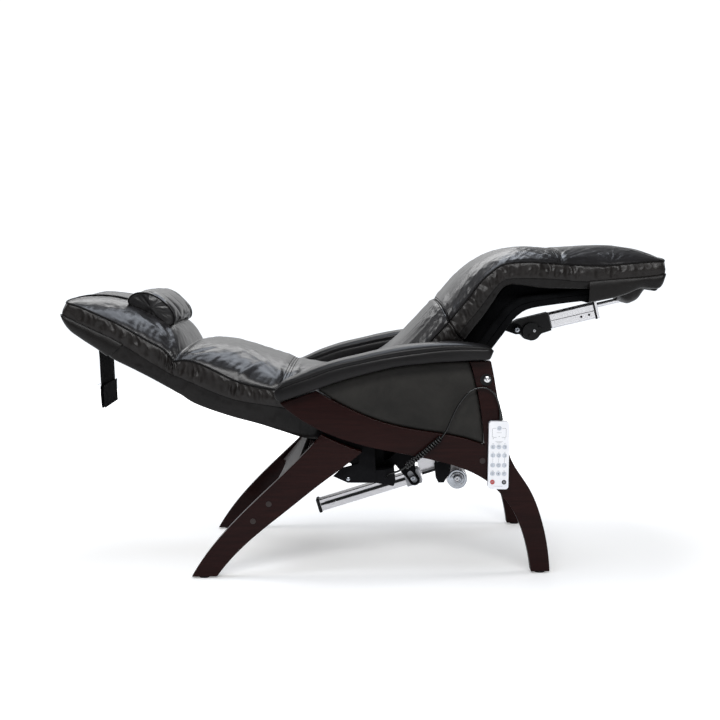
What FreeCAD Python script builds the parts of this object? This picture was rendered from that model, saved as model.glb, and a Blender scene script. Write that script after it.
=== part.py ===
import FreeCAD, Part
import Sketcher
import math
import os
from FreeCAD import Placement, Rotation, Vector

# Zero gravity recliner, in the reclined position.  Millimetres, +X to the feet,
# +Z up, origin on the floor under the middle.  The chair is symmetric about Y = 0
# except for the handset, which hangs on the side at -Y.

DIMENSIONS = {
    # wooden base
    "leg_half_width": 355.0,        # outer face of the wooden sides
    "wood_thickness": 38.0,
    "glide_height": 5.0,
    "glide_radius": 15.0,
    "panel_thickness": 20.0,
    "panel_recess": 10.0,
    "armrest_inner": 305.0,
    "armrest_outer": 398.0,
    "board_thickness": 18.0,
    "plug_radius": 8.5,
    "plug_height": 1.2,
    # steel of the base
    "bracket_thickness": 6.0,
    "crossbar_radius": 14.0,
    "crossbar_x": 235.0,
    "crossbar_z": 306.0,
    "pin_radius": 8.0,
    "pin_gap": 0.05,
    "bolt_radius": 9.0,
    "bolt_height": 5.0,
    # cradle: seat and back turning together on the side brackets
    "tilt_x": -47.0,
    "tilt_z": 533.0,
    "rail_inner": 190.0,
    "rail_thickness": 20.0,
    "rail_depth": 26.0,
    "arm_inner": 296.0,
    "arm_thickness": 6.0,
    "brace_radius": 12.0,
    "pad_half_width": 284.0,
    "ply_thickness": 12.0,
    # knee hinge and leg rest
    "knee_x": 447.0,
    "knee_z": 773.0,
    "knee_lug_radius": 20.0,
    "leg_rail_gap": 2.0,
    "leg_rail_thickness": 18.0,
    # tilt drive
    "drive_slope": 16.26,           # degrees below horizontal, towards the head
    "drive_end_x": -150.0,
    "drive_end_z": 146.0,
    "drive_length": 340.0,
    "drive_height": 38.0,
    "drive_width": 40.0,
    "motor_pin_x": 236.0,
    "motor_pin_z": 258.6,
    "motor_pin_radius": 5.0,
    "motor_x": 290.0,
    "motor_z": 233.0,
    "motor_radius": 31.0,
    "motor_length": 124.0,
    "carriage_x": 150.0,
    "carriage_z": 233.5,
    "carriage_length": 50.0,
    "carriage_wall": 5.0,
    "carriage_gap": 0.4,
    "trunnion_radius": 7.0,
    "slot_gap": 2.0,                # room either side of a trunnion in the lever's slot
    "lever_thickness": 6.0,
    # leg drive
    "leg_motor_x": 486.0,
    "leg_motor_z": 706.0,
    "leg_drive_slope": 12.3,
    "leg_tube_height": 52.0,
    "leg_tube_width": 42.0,
    "leg_tube_start": 95.0,
    "leg_tube_length": 142.0,
    "rod_radius": 8.0,
    "rod_offset": 13.0,
    "rod_end_x": 859.0,
    "rod_end_z": 812.0,
    "rod_end_clearance": 5.0,
    "rod_eye_shift": -4.0,          # the eye's centre from the pin's, along X, at rest
    # handset
    "handset_x": 391.0,
    "handset_z": 360.0,
    "handset_width": 60.0,
    "handset_length": 200.0,
    "handset_front_depth": 12.0,
    "handset_back_depth": 13.0,
    "handset_face": 384.0,
    "handset_tilt": 1.8,
    "handset_round": 9.0,
    "handset_wall": 2.5,
    "button_radius": 6.4,
    "button_gap": 0.4,
    "button_length": 7.0,
    "button_proud": 1.4,
    # cord
    "cord_radius": 3.0,
    "curl_radius": 10.0,
    "cord_plane": 367.0,
}

doc = FreeCAD.newDocument("Recliner")
sheet = doc.addObject("Spreadsheet::Sheet", "Dimensions")
for row, (alias, value) in enumerate(DIMENSIONS.items(), start=1):
    sheet.set("A%d" % row, alias)
    sheet.set("B%d" % row, str(value))
    sheet.setAlias("B%d" % row, alias)
doc.recompute()

SUB_PARTS = []


# ---------------------------------------------------------------- helpers

def size(alias):
    """Value of one cell of the sheet, in millimetres or degrees."""
    return float(sheet.get(alias))


def keep(obj, label):
    """Name a finished sub-part and list it for export."""
    obj.Label = label
    SUB_PARTS.append(obj)
    return obj


def origin_plane(body, role):
    return next(item for item in body.Origin.OriginFeatures if item.Role == role)


def curve(points):
    """A straight edge for two points, a smooth curve through three or more."""
    vectors = [Vector(x, z, 0) for x, z in points]
    if len(vectors) == 2:
        return Part.LineSegment(vectors[0], vectors[1])
    spline = Part.BSplineCurve()
    spline.interpolate(vectors)
    return spline


def outline_sketch(body, name, outline):
    sketch = body.newObject("Sketcher::SketchObject", name)
    sketch.AttachmentSupport = (origin_plane(body, "XZ_Plane"), [""])
    sketch.MapMode = "FlatFace"
    for points in outline:
        sketch.addGeometry(curve(points), False)
    return sketch


def plate(label, outline, thickness, centre_y):
    """A flat piece: its side outline, made as thick as an expression says."""
    body = doc.addObject("PartDesign::Body", label)
    pad = body.newObject("PartDesign::Pad", label + "_pad")
    pad.Profile = outline_sketch(body, label + "_outline", outline)
    pad.Midplane = True
    pad.setExpression("Length", thickness)
    body.setExpression("Placement.Base.y", centre_y)
    return body


def drill(body, name, x, z, radius):
    """A round hole along Y right through a plate."""
    sketch = body.newObject("Sketcher::SketchObject", name + "_circle")
    sketch.AttachmentSupport = (origin_plane(body, "XZ_Plane"), [""])
    sketch.MapMode = "FlatFace"
    sketch.addGeometry(Part.Circle(Vector(x, z, 0), Vector(0, 0, 1), 1.0), False)
    index = sketch.addConstraint(Sketcher.Constraint("Radius", 0, 1.0))
    sketch.renameConstraint(index, "radius")
    sketch.setExpression("Constraints.radius", radius)
    pocket = body.newObject("PartDesign::Pocket", name)
    pocket.Profile = sketch
    pocket.Type = "ThroughAll"
    pocket.Midplane = True
    return pocket


def polygon(*corners):
    """Straight edges through the corners and back to the first."""
    return [[a, b] for a, b in zip(corners, corners[1:] + corners[:1])]


def cylinder_y(x, z, radius, y_from, y_to):
    """A solid round bar along Y."""
    return Part.makeCylinder(radius, y_to - y_from, Vector(x, y_from, z), Vector(0, 1, 0))


def prism_y(points, y_from, y_to):
    """A straight-sided solid: a closed line in the XZ plane, extended along Y."""
    wire = Part.makePolygon([Vector(x, y_from, z) for x, z in points + points[:1]])
    return Part.Face(wire).extrude(Vector(0, y_to - y_from, 0))


def solid_feature(label, shape, placement=None):
    feature = doc.addObject("Part::Feature", label)
    feature.Shape = shape.removeSplitter()
    feature.Placement = placement or Placement()
    return keep(feature, label)


def slab(low, high):
    """An upright box from its lowest to its highest corner."""
    box = Part.makeBox(high[0] - low[0], high[1] - low[1], high[2] - low[2])
    box.translate(Vector(*low))
    return box


SIDES = (("right", -1), ("left", 1))


# ---------------------------------------------------------------- wooden base

def side_frames():
    """Swooping rail, front post and front leg, cut as one wooden piece."""
    outline = [
        [(-249, 520), (-205, 534), (-141, 556)],
        [(-141, 556), (-36, 497), (52, 460), (163, 433), (258, 416), (352, 386)],
        [(352, 386), (344, 480), (328, 574), (312, 634)],
        [(312, 634), (374, 634)],
        [(374, 634), (392, 530), (409, 430), (434, 335), (482, 257), (515, 175), (534, 90), (542, 5)],
        [(542, 5), (486, 5)],
        [(486, 5), (472, 89), (434, 190), (388, 252), (361, 277)],
        [(361, 277), (300, 312), (234, 335), (141, 358), (-6, 391), (-131, 438), (-249, 520)],
    ]
    for side, sign in SIDES:
        body = plate("side_frame_" + side, outline, "Dimensions.wood_thickness",
                     "%d * (Dimensions.leg_half_width - Dimensions.wood_thickness / 2)" % sign)
        keep(body, "side_frame_" + side)


def rear_legs():
    """Raked rear legs, a little below the swooping rail."""
    outline = [
        [(-523, 5), (-447, 5)],
        [(-447, 5), (-345, 113), (-231, 203), (-135, 277), (-60, 331), (-8, 372)],
        [(-8, 372), (-60, 392), (-128, 425)],
        [(-128, 425), (-300, 256), (-472, 79), (-523, 5)],
    ]
    for side, sign in SIDES:
        body = plate("rear_leg_" + side, outline, "Dimensions.wood_thickness",
                     "%d * (Dimensions.leg_half_width - Dimensions.wood_thickness / 2)" % sign)
        keep(body, "rear_leg_" + side)


def side_panels():
    """Leather-covered boards that fill the space under the armrests."""
    outline = [
        [(-132, 555.5), (-36, 498), (52, 461), (163, 434), (258, 417), (350, 388)],
        [(350, 388), (342, 480), (326, 574), (310, 633)],
        [(310, 633), (202, 631), (106, 623), (45, 611), (-73, 581), (-132, 562)],
        [(-132, 562), (-132, 555.5)],
    ]
    centre = "%d * (Dimensions.leg_half_width - Dimensions.panel_recess - Dimensions.panel_thickness / 2)"
    for side, sign in SIDES:
        body = plate("side_panel_" + side, outline, "Dimensions.panel_thickness", centre % sign)
        keep(body, "side_panel_" + side)


def armrests():
    """Padded arms, low behind and level in front."""
    outline = [
        [(370, 640), (307, 640), (202, 635), (106, 627), (45, 615), (-73, 585), (-142, 562), (-240, 530)],
        [(-240, 530), (-256, 533), (-264, 550), (-256, 570), (-227, 594)],
        [(-227, 594), (-120, 636), (-3, 664), (107, 685), (191, 694), (252, 695), (355, 684)],
        [(355, 684), (375, 676), (381, 660), (370, 640)],
    ]
    for side, sign in SIDES:
        body = plate("armrest_" + side, outline, "Dimensions.armrest_outer - Dimensions.armrest_inner",
                     "%d * (Dimensions.armrest_outer + Dimensions.armrest_inner) / 2" % sign)
        keep(body, "armrest_" + side)


def rear_stretcher():
    """Sloping board between the rear legs, its lower edge arched."""
    half = size("leg_half_width") - size("wood_thickness")
    height, arch = 150.0, 45.0
    top = [Vector(-half, 0, 0), Vector(half, 0, 0)]
    low = [Vector(half, -height, 0), Vector(0, -height + arch, 0), Vector(-half, -height, 0)]
    edges = [
        Part.LineSegment(top[0], top[1]).toShape(),
        Part.LineSegment(top[1], low[0]).toShape(),
        Part.Arc(low[0], low[1], low[2]).toShape(),
        Part.LineSegment(low[2], top[0]).toShape(),
    ]
    board = Part.Face(Part.Wire(edges)).extrude(Vector(0, 0, size("board_thickness")))
    # the board's own X runs across the chair and its own -Y down along the legs
    tilt = Rotation(Vector(0, 1, 0), Vector(0.66, 0, 0.751), Vector(0.751, 0, -0.66), "XZY")
    solid_feature("rear_stretcher", board, Placement(Vector(-196, 0, 352), tilt))


def wood_plugs():
    """Round caps over the leg bolts, on the outer faces."""
    plugs = []
    for _side, sign in SIDES:
        face = sign * size("leg_half_width")
        low, high = sorted((face, face + sign * size("plug_height")))
        for x, z in ((346, 340), (-288, 221), (-336, 170)):
            plugs.append(cylinder_y(x, z, size("plug_radius"), low, high))
    solid_feature("wood_plugs", Part.makeCompound(plugs))


def foot_glides():
    glides = []
    for _side, sign in SIDES:
        y = sign * (size("leg_half_width") - size("wood_thickness") / 2)
        for x in (-487, 514):
            glides.append(Part.makeCylinder(size("glide_radius"), size("glide_height"), Vector(x, y, 0)))
    solid_feature("foot_glides", Part.makeCompound(glides))


# ---------------------------------------------------------------- steel of the base

def side_brackets():
    """Steel plates inside the wood: they join leg to rail and carry the tilt pins."""
    outline = polygon((-150, 395), (-105, 320), (-50, 340), (60, 395), (60, 450), (-15, 560), (-79, 560),
                      (-95, 500))
    inside = "(Dimensions.leg_half_width - Dimensions.wood_thickness - Dimensions.bracket_thickness / 2)"
    for side, sign in SIDES:
        body = plate("side_bracket_" + side, outline, "Dimensions.bracket_thickness", "%d * %s" % (sign, inside))
        drill(body, "tilt_hole_" + side, size("tilt_x"), size("tilt_z"), "Dimensions.pin_radius")
        keep(body, "side_bracket_" + side)


def frame_bolts():
    """The two tilt pins with their heads, and the screws through the brackets."""
    inner = size("leg_half_width") - size("wood_thickness")
    plate_face = inner - size("bracket_thickness")
    x, z = size("tilt_x"), size("tilt_z")
    solids = []
    for _side, sign in SIDES:
        pin = cylinder_y(x, z, size("pin_radius"), size("arm_inner") - 4, inner)
        head = cylinder_y(x, z, size("pin_radius") + 5, inner, inner + 6)
        cap = cylinder_y(x, z, size("pin_radius") + 4, size("arm_inner") - 9, size("arm_inner") - 4)
        bolts = [pin.fuse([head, cap])]
        for bolt_x, bolt_z in ((-108, 380), (-78, 352), (-30, 425), (35, 415)):
            low = plate_face - size("bolt_height")
            bolts.append(cylinder_y(bolt_x, bolt_z, size("bolt_radius"), low, plate_face))
        for bolt in bolts:
            solids.append(bolt if sign > 0 else bolt.mirror(Vector(), Vector(0, 1, 0)))
    solid_feature("frame_bolts", Part.makeCompound(solids))


def motor_crossbar():
    """Round bar between the side frames, with the fork and the pin that hold the tilt motor."""
    inner = size("leg_half_width") - size("wood_thickness")
    x, z = size("crossbar_x"), size("crossbar_z")
    pin_x, pin_z = size("motor_pin_x"), size("motor_pin_z")
    shape = cylinder_y(x, z, size("crossbar_radius"), -inner, inner)
    for _side, sign in SIDES:
        low, high = sorted((sign * 26, sign * 32))
        ear = prism_y([(x - 14, z), (x + 14, z), (pin_x + 14, pin_z - 12), (pin_x - 14, pin_z - 12)], low, high)
        foot = prism_y([(x - 30, z + 24), (x + 20, z + 24), (x + 18, z - 4), (x - 2, z - 36), (x - 18, z - 36),
                        (x - 26, z - 20)], *sorted((sign * (inner - 5), sign * inner)))
        shape = shape.fuse([ear, foot])
    shape = shape.fuse(cylinder_y(pin_x, pin_z, size("motor_pin_radius"), -36, 36))
    solid_feature("motor_crossbar", shape)


def control_box():
    """Electronics case hung on the side bracket at -Y by a plate that reaches back."""
    case = prism_y([(-41, 275), (30, 270), (84, 259), (89, 279), (86, 316), (60, 309), (-42, 303)], -304, -226)
    case = case.makeFillet(4, [edge for edge in case.Edges if abs(edge.BoundBox.YLength - 78) < 0.01])
    hanger = prism_y([(-97, 293), (-54, 273), (30, 271), (30, 404), (-20, 404), (-20, 330), (-70, 318)], -311, -304)
    solid_feature("control_box", case.fuse(hanger))


# ---------------------------------------------------------------- cradle

def ribbon(points, depth, y_from, y_to):
    """A bar of constant depth that follows a line in the XZ plane, extended along Y."""
    edges = []
    for start, end in zip(points, points[1:]):
        edges.append(Part.makeLine(Vector(start[0], y_from, start[1]), Vector(end[0], y_from, end[1])))
    wire = Part.Wire(edges)
    outline = wire.makeOffset2D(depth / 2, 0, False, False, False)
    return Part.Face(outline).extrude(Vector(0, y_to - y_from, 0))


def cradle_rails():
    """Side rails under the seat, each with the arm that takes a tilt pin."""
    inner, outer = size("rail_inner"), size("rail_inner") + size("rail_thickness")
    arm_in, arm_out = size("arm_inner"), size("arm_inner") + size("arm_thickness")
    tilt_x, tilt_z = size("tilt_x"), size("tilt_z")
    knee_x, knee_z = size("knee_x"), size("knee_z")
    line = [(-560, 588), (-226, 442), (-62, 338), (-22, 315), (29, 304), (78, 313), (110, 345),
            (knee_x - 20, knee_z - 26), (knee_x, knee_z)]
    bore = size("pin_radius") + size("pin_gap")
    for side, sign in SIDES:
        bar = ribbon(line, size("rail_depth"), inner, outer)
        lug = cylinder_y(knee_x, knee_z, size("knee_lug_radius"), inner, outer)
        posts = [prism_y([(32, 310), (56, 310), (56, 476), (32, 456)], inner, outer),
                 prism_y([(248, 520), (272, 545), (218, 617), (196, 590)], inner, outer)]
        spacer = cylinder_y(-20, 330, 11, outer, arm_in)
        arm = prism_y([(-40, 314), (6, 314), (-20, 545), (-74, 545)], arm_in, arm_out)
        crown = cylinder_y(tilt_x, tilt_z, 27, arm_in, arm_out)
        shape = bar.fuse([lug, spacer, arm, crown] + posts)
        shape = shape.cut(cylinder_y(tilt_x, tilt_z, bore, arm_in - 1, arm_out + 1))
        shape = shape.cut(cylinder_y(knee_x, knee_z, bore, inner - 1, outer + 1))
        if sign < 0:
            shape = shape.mirror(Vector(), Vector(0, 1, 0))
        solid_feature("cradle_rail_" + side, shape)


def cradle_crossbars():
    """Round braces welded between the side rails."""
    half = size("rail_inner")
    bars = []
    for x, z in ((-540, 579.2), (-226, 442), (84, 322), (415, 732.3)):
        bars.append(cylinder_y(x, z, size("brace_radius"), -half, half))
    solid_feature("cradle_crossbars", Part.makeCompound(bars))


def body_board():
    """Moulded plywood under the seat and the back, bent at the hip."""
    half = size("pad_half_width") - 4
    thick = size("ply_thickness")
    line = [(-768, 708), (-212, 465), (-120, 440), (-20, 452), (60, 490), (140, 550), (378, 832)]
    board = ribbon(line, thick, -half, half)
    solid_feature("body_board", board)


def pads():
    """Head, back and seat cushions: plain closed solids over the board."""
    half = "2 * Dimensions.pad_half_width"
    head = [
        [(-560, 630), (-792, 730)],
        [(-792, 730), (-846, 716), (-892, 768), (-897, 812), (-868, 828)],
        [(-868, 828), (-790, 832), (-700, 820), (-620, 786), (-562, 722)],
        [(-562, 722), (-560, 630)],
    ]
    back = [
        [(-558, 629.2), (-215, 479.5)],
        [(-215, 479.5), (-150, 458), (-104, 462)],
        [(-104, 462), (-150, 560), (-184, 612)],
        [(-184, 612), (-245, 638), (-347, 668), (-449, 692), (-520, 702), (-554, 700)],
        [(-554, 700), (-558, 629.2)],
    ]
    seat = [
        [(-102, 462), (-60, 456), (-20, 468), (60, 506), (130, 562), (240, 690), (362, 836)],
        [(362, 836), (424, 878)],
        [(424, 878), (420, 930), (390, 940), (349, 921)],
        [(349, 921), (272, 844), (168, 726), (96, 664), (0, 610), (-90, 594), (-181, 611)],
        [(-181, 611), (-148, 561), (-102, 462)],
    ]
    for label, outline in (("head_pad", head), ("back_pad", back), ("seat_pad", seat)):
        keep(plate(label, outline, half, "0 * Dimensions.pad_half_width"), label)


def pillow_parts():
    """The strap over the head cushion, the neck pillow on it and the weighted flap behind."""
    strap = ribbon([(-893, 838), (-868, 836.5), (-790, 840), (-700, 828.5), (-640, 804)], 3, -118, 118)
    solid_feature("pillow_strap", strap)
    pillow = [
        [(-600, 778), (-574, 765), (-574, 802), (-600, 836), (-640, 863), (-690, 869), (-722, 853)],
        [(-722, 853), (-718, 841), (-690, 834), (-640, 814), (-600, 778)],
    ]
    keep(plate("pillow", pillow, "380", "0 * Dimensions.pad_half_width"), "pillow")
    flap = slab((-838, -118, 484), (-826, 118, 560)).fuse(slab((-835, -118, 560), (-829, 118, 704)))
    solid_feature("pillow_flap", flap.fuse(cylinder_y(-832, 705, 4, -118, 118)))


def rounded_bar(start, end, across, radius, y_from, y_to):
    """A straight bar with round ends, seen along Y, between two points in the XZ plane."""
    corners = [start + across * radius, end + across * radius, end - across * radius, start - across * radius]
    bar = prism_y([(corner.x, corner.z) for corner in corners], y_from, y_to)
    ends = [cylinder_y(point.x, point.z, radius, y_from, y_to) for point in (start, end)]
    return bar.fuse(ends)


def lever_bracket():
    """Two plates down from a brace, each with a slot that points at the tilt pin.

    The carriage runs straight and the lever swings, so a trunnion's distance from
    the tilt pin changes from near to far; the slot takes that up.
    """
    tilt = Vector(size("tilt_x"), 0, size("tilt_z"))
    reach = Vector(size("carriage_x"), 0, size("carriage_z")) - tilt
    slope = math.radians(size("drive_slope"))
    nearest = reach.x * math.sin(slope) - reach.z * math.cos(slope)
    farthest = nearest / math.cos(math.radians(21.3))
    ray = reach.normalize()
    near, far = tilt + ray * nearest, tilt + ray * farthest
    across = Vector(-ray.z, 0, ray.x)
    slot_radius = size("trunnion_radius") + size("slot_gap")
    outer = size("drive_width") / 2 + size("carriage_gap") + size("carriage_wall")
    plates = []
    for _side, sign in SIDES:
        low, high = sorted((sign * (outer + 1), sign * (outer + 1 + size("lever_thickness"))))
        blade = prism_y([(68, 310), (100, 334), (146, 328), (156, 298), (near.x + 17, near.z + 8),
                         (near.x - 17, near.z - 8)], low, high)
        blade = blade.fuse([rounded_bar(near, far, across, 17, low, high), cylinder_y(84, 322, 20, low, high)])
        blade = blade.cut(rounded_bar(near, far, across, slot_radius, low - 1, high + 1))
        plates.append(blade.cut(cylinder_y(84, 322, size("brace_radius"), low - 1, high + 1)))
    solid_feature("lever_bracket", Part.makeCompound(plates))


def leg_motor_bracket():
    """Two plates from a brace near the knee to the pin of the leg drive."""
    x, z = size("leg_motor_x"), size("leg_motor_z")
    plates = []
    for _side, sign in SIDES:
        low, high = sorted((sign * 27, sign * 33))
        blade = prism_y([(404, 745), (410, 716), (x - 4, z - 16), (x + 4, z + 16)], low, high)
        blade = blade.fuse([cylinder_y(x, z, 16.5, low, high), cylinder_y(415, 732.3, 20, low, high)])
        blade = blade.cut(cylinder_y(415, 732.3, size("brace_radius"), low - 1, high + 1))
        plates.append(blade.cut(cylinder_y(x, z, size("pin_radius"), low - 1, high + 1)))
    pin = cylinder_y(x, z, size("pin_radius"), -33, 33)
    heads = [cylinder_y(x, z, 13, 33, 39), cylinder_y(x, z, 13, -39, -33)]
    solid_feature("leg_motor_bracket", plates[0].fuse([plates[1], pin] + heads))


# ---------------------------------------------------------------- leg rest

def leg_rails():
    """Side rails of the leg rest, outside the cradle rails, with their knee pins."""
    inner = size("rail_inner") + size("rail_thickness") + size("leg_rail_gap")
    outer = inner + size("leg_rail_thickness")
    x, z = size("knee_x"), size("knee_z")
    for side, sign in SIDES:
        bar = prism_y([(x - 6, z + 18), (x + 6, z - 18), (535, 787), (665, 803), (895, 812), (895, 850),
                       (665, 838), (535, 824), (474, 812)], inner, outer)
        lug = cylinder_y(x, z, size("knee_lug_radius"), inner, outer)
        pin = cylinder_y(x, z, size("pin_radius"), size("rail_inner") - 4, inner)
        shape = bar.fuse([lug, pin])
        if sign < 0:
            shape = shape.mirror(Vector(), Vector(0, 1, 0))
        solid_feature("leg_rail_" + side, shape)


def leg_crossbars():
    """Braces of the leg rest and the fork that takes the end of the leg drive."""
    half = size("rail_inner") + size("rail_thickness") + size("leg_rail_gap")
    x, z = size("rod_end_x"), size("rod_end_z")
    shape = cylinder_y(882, 838, size("brace_radius"), -half, half)
    for _side, sign in SIDES:
        low, high = sorted((sign * 20, sign * 26))
        ear = prism_y([(870, 842), (892, 842), (x + 11, z - 8), (x - 11, z - 8)], low, high)
        shape = shape.fuse(ear)
    shape = shape.fuse(cylinder_y(x, z, size("motor_pin_radius"), -29, 29))
    shape = Part.makeCompound([shape, cylinder_y(535, 805, size("brace_radius"), -half, half)])
    solid_feature("leg_crossbars", shape)


def leg_pad():
    """Calf and foot cushion: a plain closed solid."""
    outline = [
        [(444, 862), (476, 856)],
        [(476, 856), (880, 856)],
        [(880, 856), (896, 872), (897, 916), (880, 936)],
        [(880, 936), (820, 956), (700, 958), (560, 960), (460, 966)],
        [(460, 966), (440, 950), (437, 905), (444, 862)],
    ]
    keep(plate("leg_pad", outline, "2 * Dimensions.pad_half_width", "0 * Dimensions.pad_half_width"), "leg_pad")


# ---------------------------------------------------------------- drives

def sloped(x, z, degrees):
    """Placement at a point with its own +X turned down (or up, if negative) from level."""
    return Placement(Vector(x, 0, z), Rotation(Vector(0, 1, 0), degrees))


def bar_box(length, width, height, start=0.0):
    """A box along its own +X, centred on the other two axes."""
    box = Part.makeBox(length, width, height)
    box.translate(Vector(start, -width / 2, -height / 2))
    return box


def drive_rail():
    """Aluminium rail of the tilt drive, with side grooves and an end cap."""
    width, height = size("drive_width"), size("drive_height")
    length = size("drive_length")
    rail = bar_box(length, width, height)
    for _side, sign in SIDES:
        groove = bar_box(length - 40, 6, 9, 20)
        groove.translate(Vector(0, sign * width / 2, 3))
        rail = rail.cut(groove)
    cap = bar_box(6, width + 4, height + 4, -6)
    solid_feature("drive_rail", rail.fuse(cap), sloped(size("drive_end_x"), size("drive_end_z"),
                                                       -size("drive_slope")))


def drive_motor():
    """Gear housing on the rail's upper end, bored for the fork's pin, and the round motor."""
    slope = math.radians(size("drive_slope"))
    start = size("drive_length")
    x = size("drive_end_x") + start * math.cos(slope)
    z = size("drive_end_z") + start * math.sin(slope)
    housing = bar_box(92, 40, 54)
    housing.Placement = sloped(x, z, -size("drive_slope"))
    motor_x, motor_z, half = size("motor_x"), size("motor_z"), size("motor_length") / 2
    can = cylinder_y(motor_x, motor_z, size("motor_radius"), -half, half)
    collar = cylinder_y(motor_x, motor_z, size("motor_radius") + 3, -22, 22)
    boss = cylinder_y(motor_x, motor_z, 9, -half - 4, half)
    shape = housing.fuse([can, collar, boss])
    shape = shape.cut(cylinder_y(size("motor_pin_x"), size("motor_pin_z"), size("motor_pin_radius"), -21, 21))
    solid_feature("drive_motor", shape)


def carriage():
    """Sleeve that the drive moves along the rail, with a trunnion each side."""
    wall, gap = size("carriage_wall"), size("carriage_gap")
    width, height = size("drive_width") + 2 * gap, size("drive_height") + 2 * gap
    length = size("carriage_length")
    sleeve = bar_box(length, width + 2 * wall, height + 2 * wall, -length / 2)
    sleeve = sleeve.cut(bar_box(length + 2, width, height, -length / 2 - 1))
    sleeve.Placement = sloped(size("carriage_x"), size("carriage_z"), -size("drive_slope"))
    half = width / 2 + wall
    for _side, sign in SIDES:
        low, high = sorted((sign * (half - 0.5), sign * (half + 10)))
        x, z = size("carriage_x"), size("carriage_z")
        sleeve = sleeve.fuse(cylinder_y(x, z, size("trunnion_radius"), low, high))
    solid_feature("carriage", sleeve)


def leg_gearbox():
    """Gear housing of the leg drive, turning on its pin."""
    x, z = size("leg_motor_x"), size("leg_motor_z")
    case = prism_y([(470, 694), (474, 726), (492, 736), (586, 757), (598, 700), (566, 690), (552, 676),
                    (532, 668), (512, 674), (500, 688)], -26, 26)
    shape = case.fuse(cylinder_y(532, 698, 28, -46, 46))
    shape = shape.cut(cylinder_y(x, z, size("pin_radius") + size("pin_gap"), -47, 47))
    solid_feature("leg_gearbox", shape)


def leg_tube():
    """Aluminium tube of the leg drive with its black cap, open round the rod."""
    start, length = size("leg_tube_start"), size("leg_tube_length")
    width, height = size("leg_tube_width"), size("leg_tube_height")
    tube = bar_box(length, width, height, start)
    long_edges = [edge for edge in tube.Edges if abs(edge.Length - length) < 0.01]
    tube = tube.makeFillet(8, long_edges)
    cap = bar_box(12, width + 3, height + 3, start + length)
    shape = tube.fuse(cap)
    bore = Part.makeCylinder(size("rod_radius") + 0.5, length + 20, Vector(start + 10, 0, size("rod_offset")),
                             Vector(1, 0, 0))
    shape = shape.cut(bore)
    solid_feature("leg_tube", shape, leg_drive_placement())


def leg_drive_placement():
    """The tube's axis: through the middle of the gear housing's front face."""
    return sloped(size("leg_motor_x") + 17, size("leg_motor_z") + 4, -size("leg_drive_slope"))


def leg_rod():
    """Push rod with a flattened eye that stays clear of the leg rest's pin."""
    slope = math.radians(size("leg_drive_slope"))
    origin = leg_drive_placement().Base
    offset = size("rod_offset")
    dx, dz = size("rod_end_x") - origin.x, size("rod_end_z") - origin.z
    reach = dx * math.cos(slope) + dz * math.sin(slope)
    start = size("leg_tube_start") + 62
    rod = Part.makeCylinder(size("rod_radius"), reach - start - 10, Vector(start, 0, offset), Vector(1, 0, 0))
    rod.Placement = leg_drive_placement()
    x, z = size("rod_end_x") + size("rod_eye_shift"), size("rod_end_z")
    hole = size("motor_pin_radius") + size("rod_end_clearance")
    eye = cylinder_y(x, z, hole + 6, -14, 14)
    shape = rod.fuse(eye).cut(cylinder_y(x, z, hole, -15, 15))
    solid_feature("leg_rod", shape)


# ---------------------------------------------------------------- handset and cord

def handset_placement():
    return Placement(Vector(size("handset_x"), 0, size("handset_z")),
                     Rotation(Vector(0, 1, 0), size("handset_tilt")))


BUTTON_PLACES = [(0, 80)] + [(dx, z) for z in (25, 0, -29, -54) for dx in (-17, 0, 17)] + [(-17, -79), (17, -79)]


def handset():
    """Two shells of the handset, with a hole for each button."""
    width, length = size("handset_width"), size("handset_length")
    face = size("handset_face")
    seam = face - size("handset_front_depth")
    rear = seam - size("handset_back_depth")
    wall = size("handset_wall")
    front = slab((-width / 2, -face, -length / 2), (width / 2, -seam, length / 2))
    corners = [edge for edge in front.Edges if edge.BoundBox.YLength > 1]
    front = front.makeFillet(size("handset_round"), corners)
    front = front.cut(slab((-width / 2 + wall, -face + wall, -length / 2 + wall),
                           (width / 2 - wall, -seam, length / 2 - wall)))
    for dx, dz in BUTTON_PLACES:
        hole = cylinder_y(dx, dz, size("button_radius") + size("button_gap"), -face - 1, -face + wall + 1)
        front = front.cut(hole)
    solid_feature("handset_front", front, handset_placement())
    back = slab((-width / 2, -seam, -length / 2), (width / 2, -rear, length / 2))
    corners = [edge for edge in back.Edges if edge.BoundBox.YLength > 1]
    solid_feature("handset_back", back.makeFillet(size("handset_round"), corners), handset_placement())


def buttons():
    """Round push buttons: one above, four rows of three, and two below."""
    outer = -size("handset_face") - size("button_proud")
    for number, (dx, dz) in enumerate(BUTTON_PLACES, start=1):
        shape = cylinder_y(dx, dz, size("button_radius"), outer, outer + size("button_length"))
        solid_feature("button_%02d" % number, shape, handset_placement())


def remote_hook():
    """Black disc with a bright domed cap on the post's outer face."""
    face = -size("leg_half_width")
    disc = cylinder_y(359, 580, 17, face - 4, face)
    neck = cylinder_y(360, 582, 6, face - 12, face - 4)
    cap = cylinder_y(361, 583, 10.5, face - 18, face - 12)
    solid_feature("remote_hook", disc.fuse([neck, cap]))


def rounded_path(points):
    """Straight runs joined by tangent arcs, as one wire; prints each arc's radius."""
    corners = [Vector(*point) for point in points]
    edges = []
    here = corners[0]
    for before, corner, after in zip(corners, corners[1:], corners[2:]):
        run_in, run_out = corner - before, after - corner
        turn = run_in.getAngle(run_out)
        setback = 0.45 * min(run_in.Length, run_out.Length)
        radius = setback / math.tan(turn / 2)
        start = corner - run_in.normalize() * setback
        end = corner + run_out.normalize() * setback
        inward = (start + end) * 0.5 - corner
        middle = corner + inward.normalize() * (radius / math.cos(turn / 2) - radius)
        edges.append(Part.makeLine(here, start))
        edges.append(Part.Arc(start, middle, end).toShape())
        here = end
        print("  cord arc radius %.0f mm" % radius)
    edges.append(Part.makeLine(here, corners[-1]))
    return Part.Wire(edges)


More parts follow.
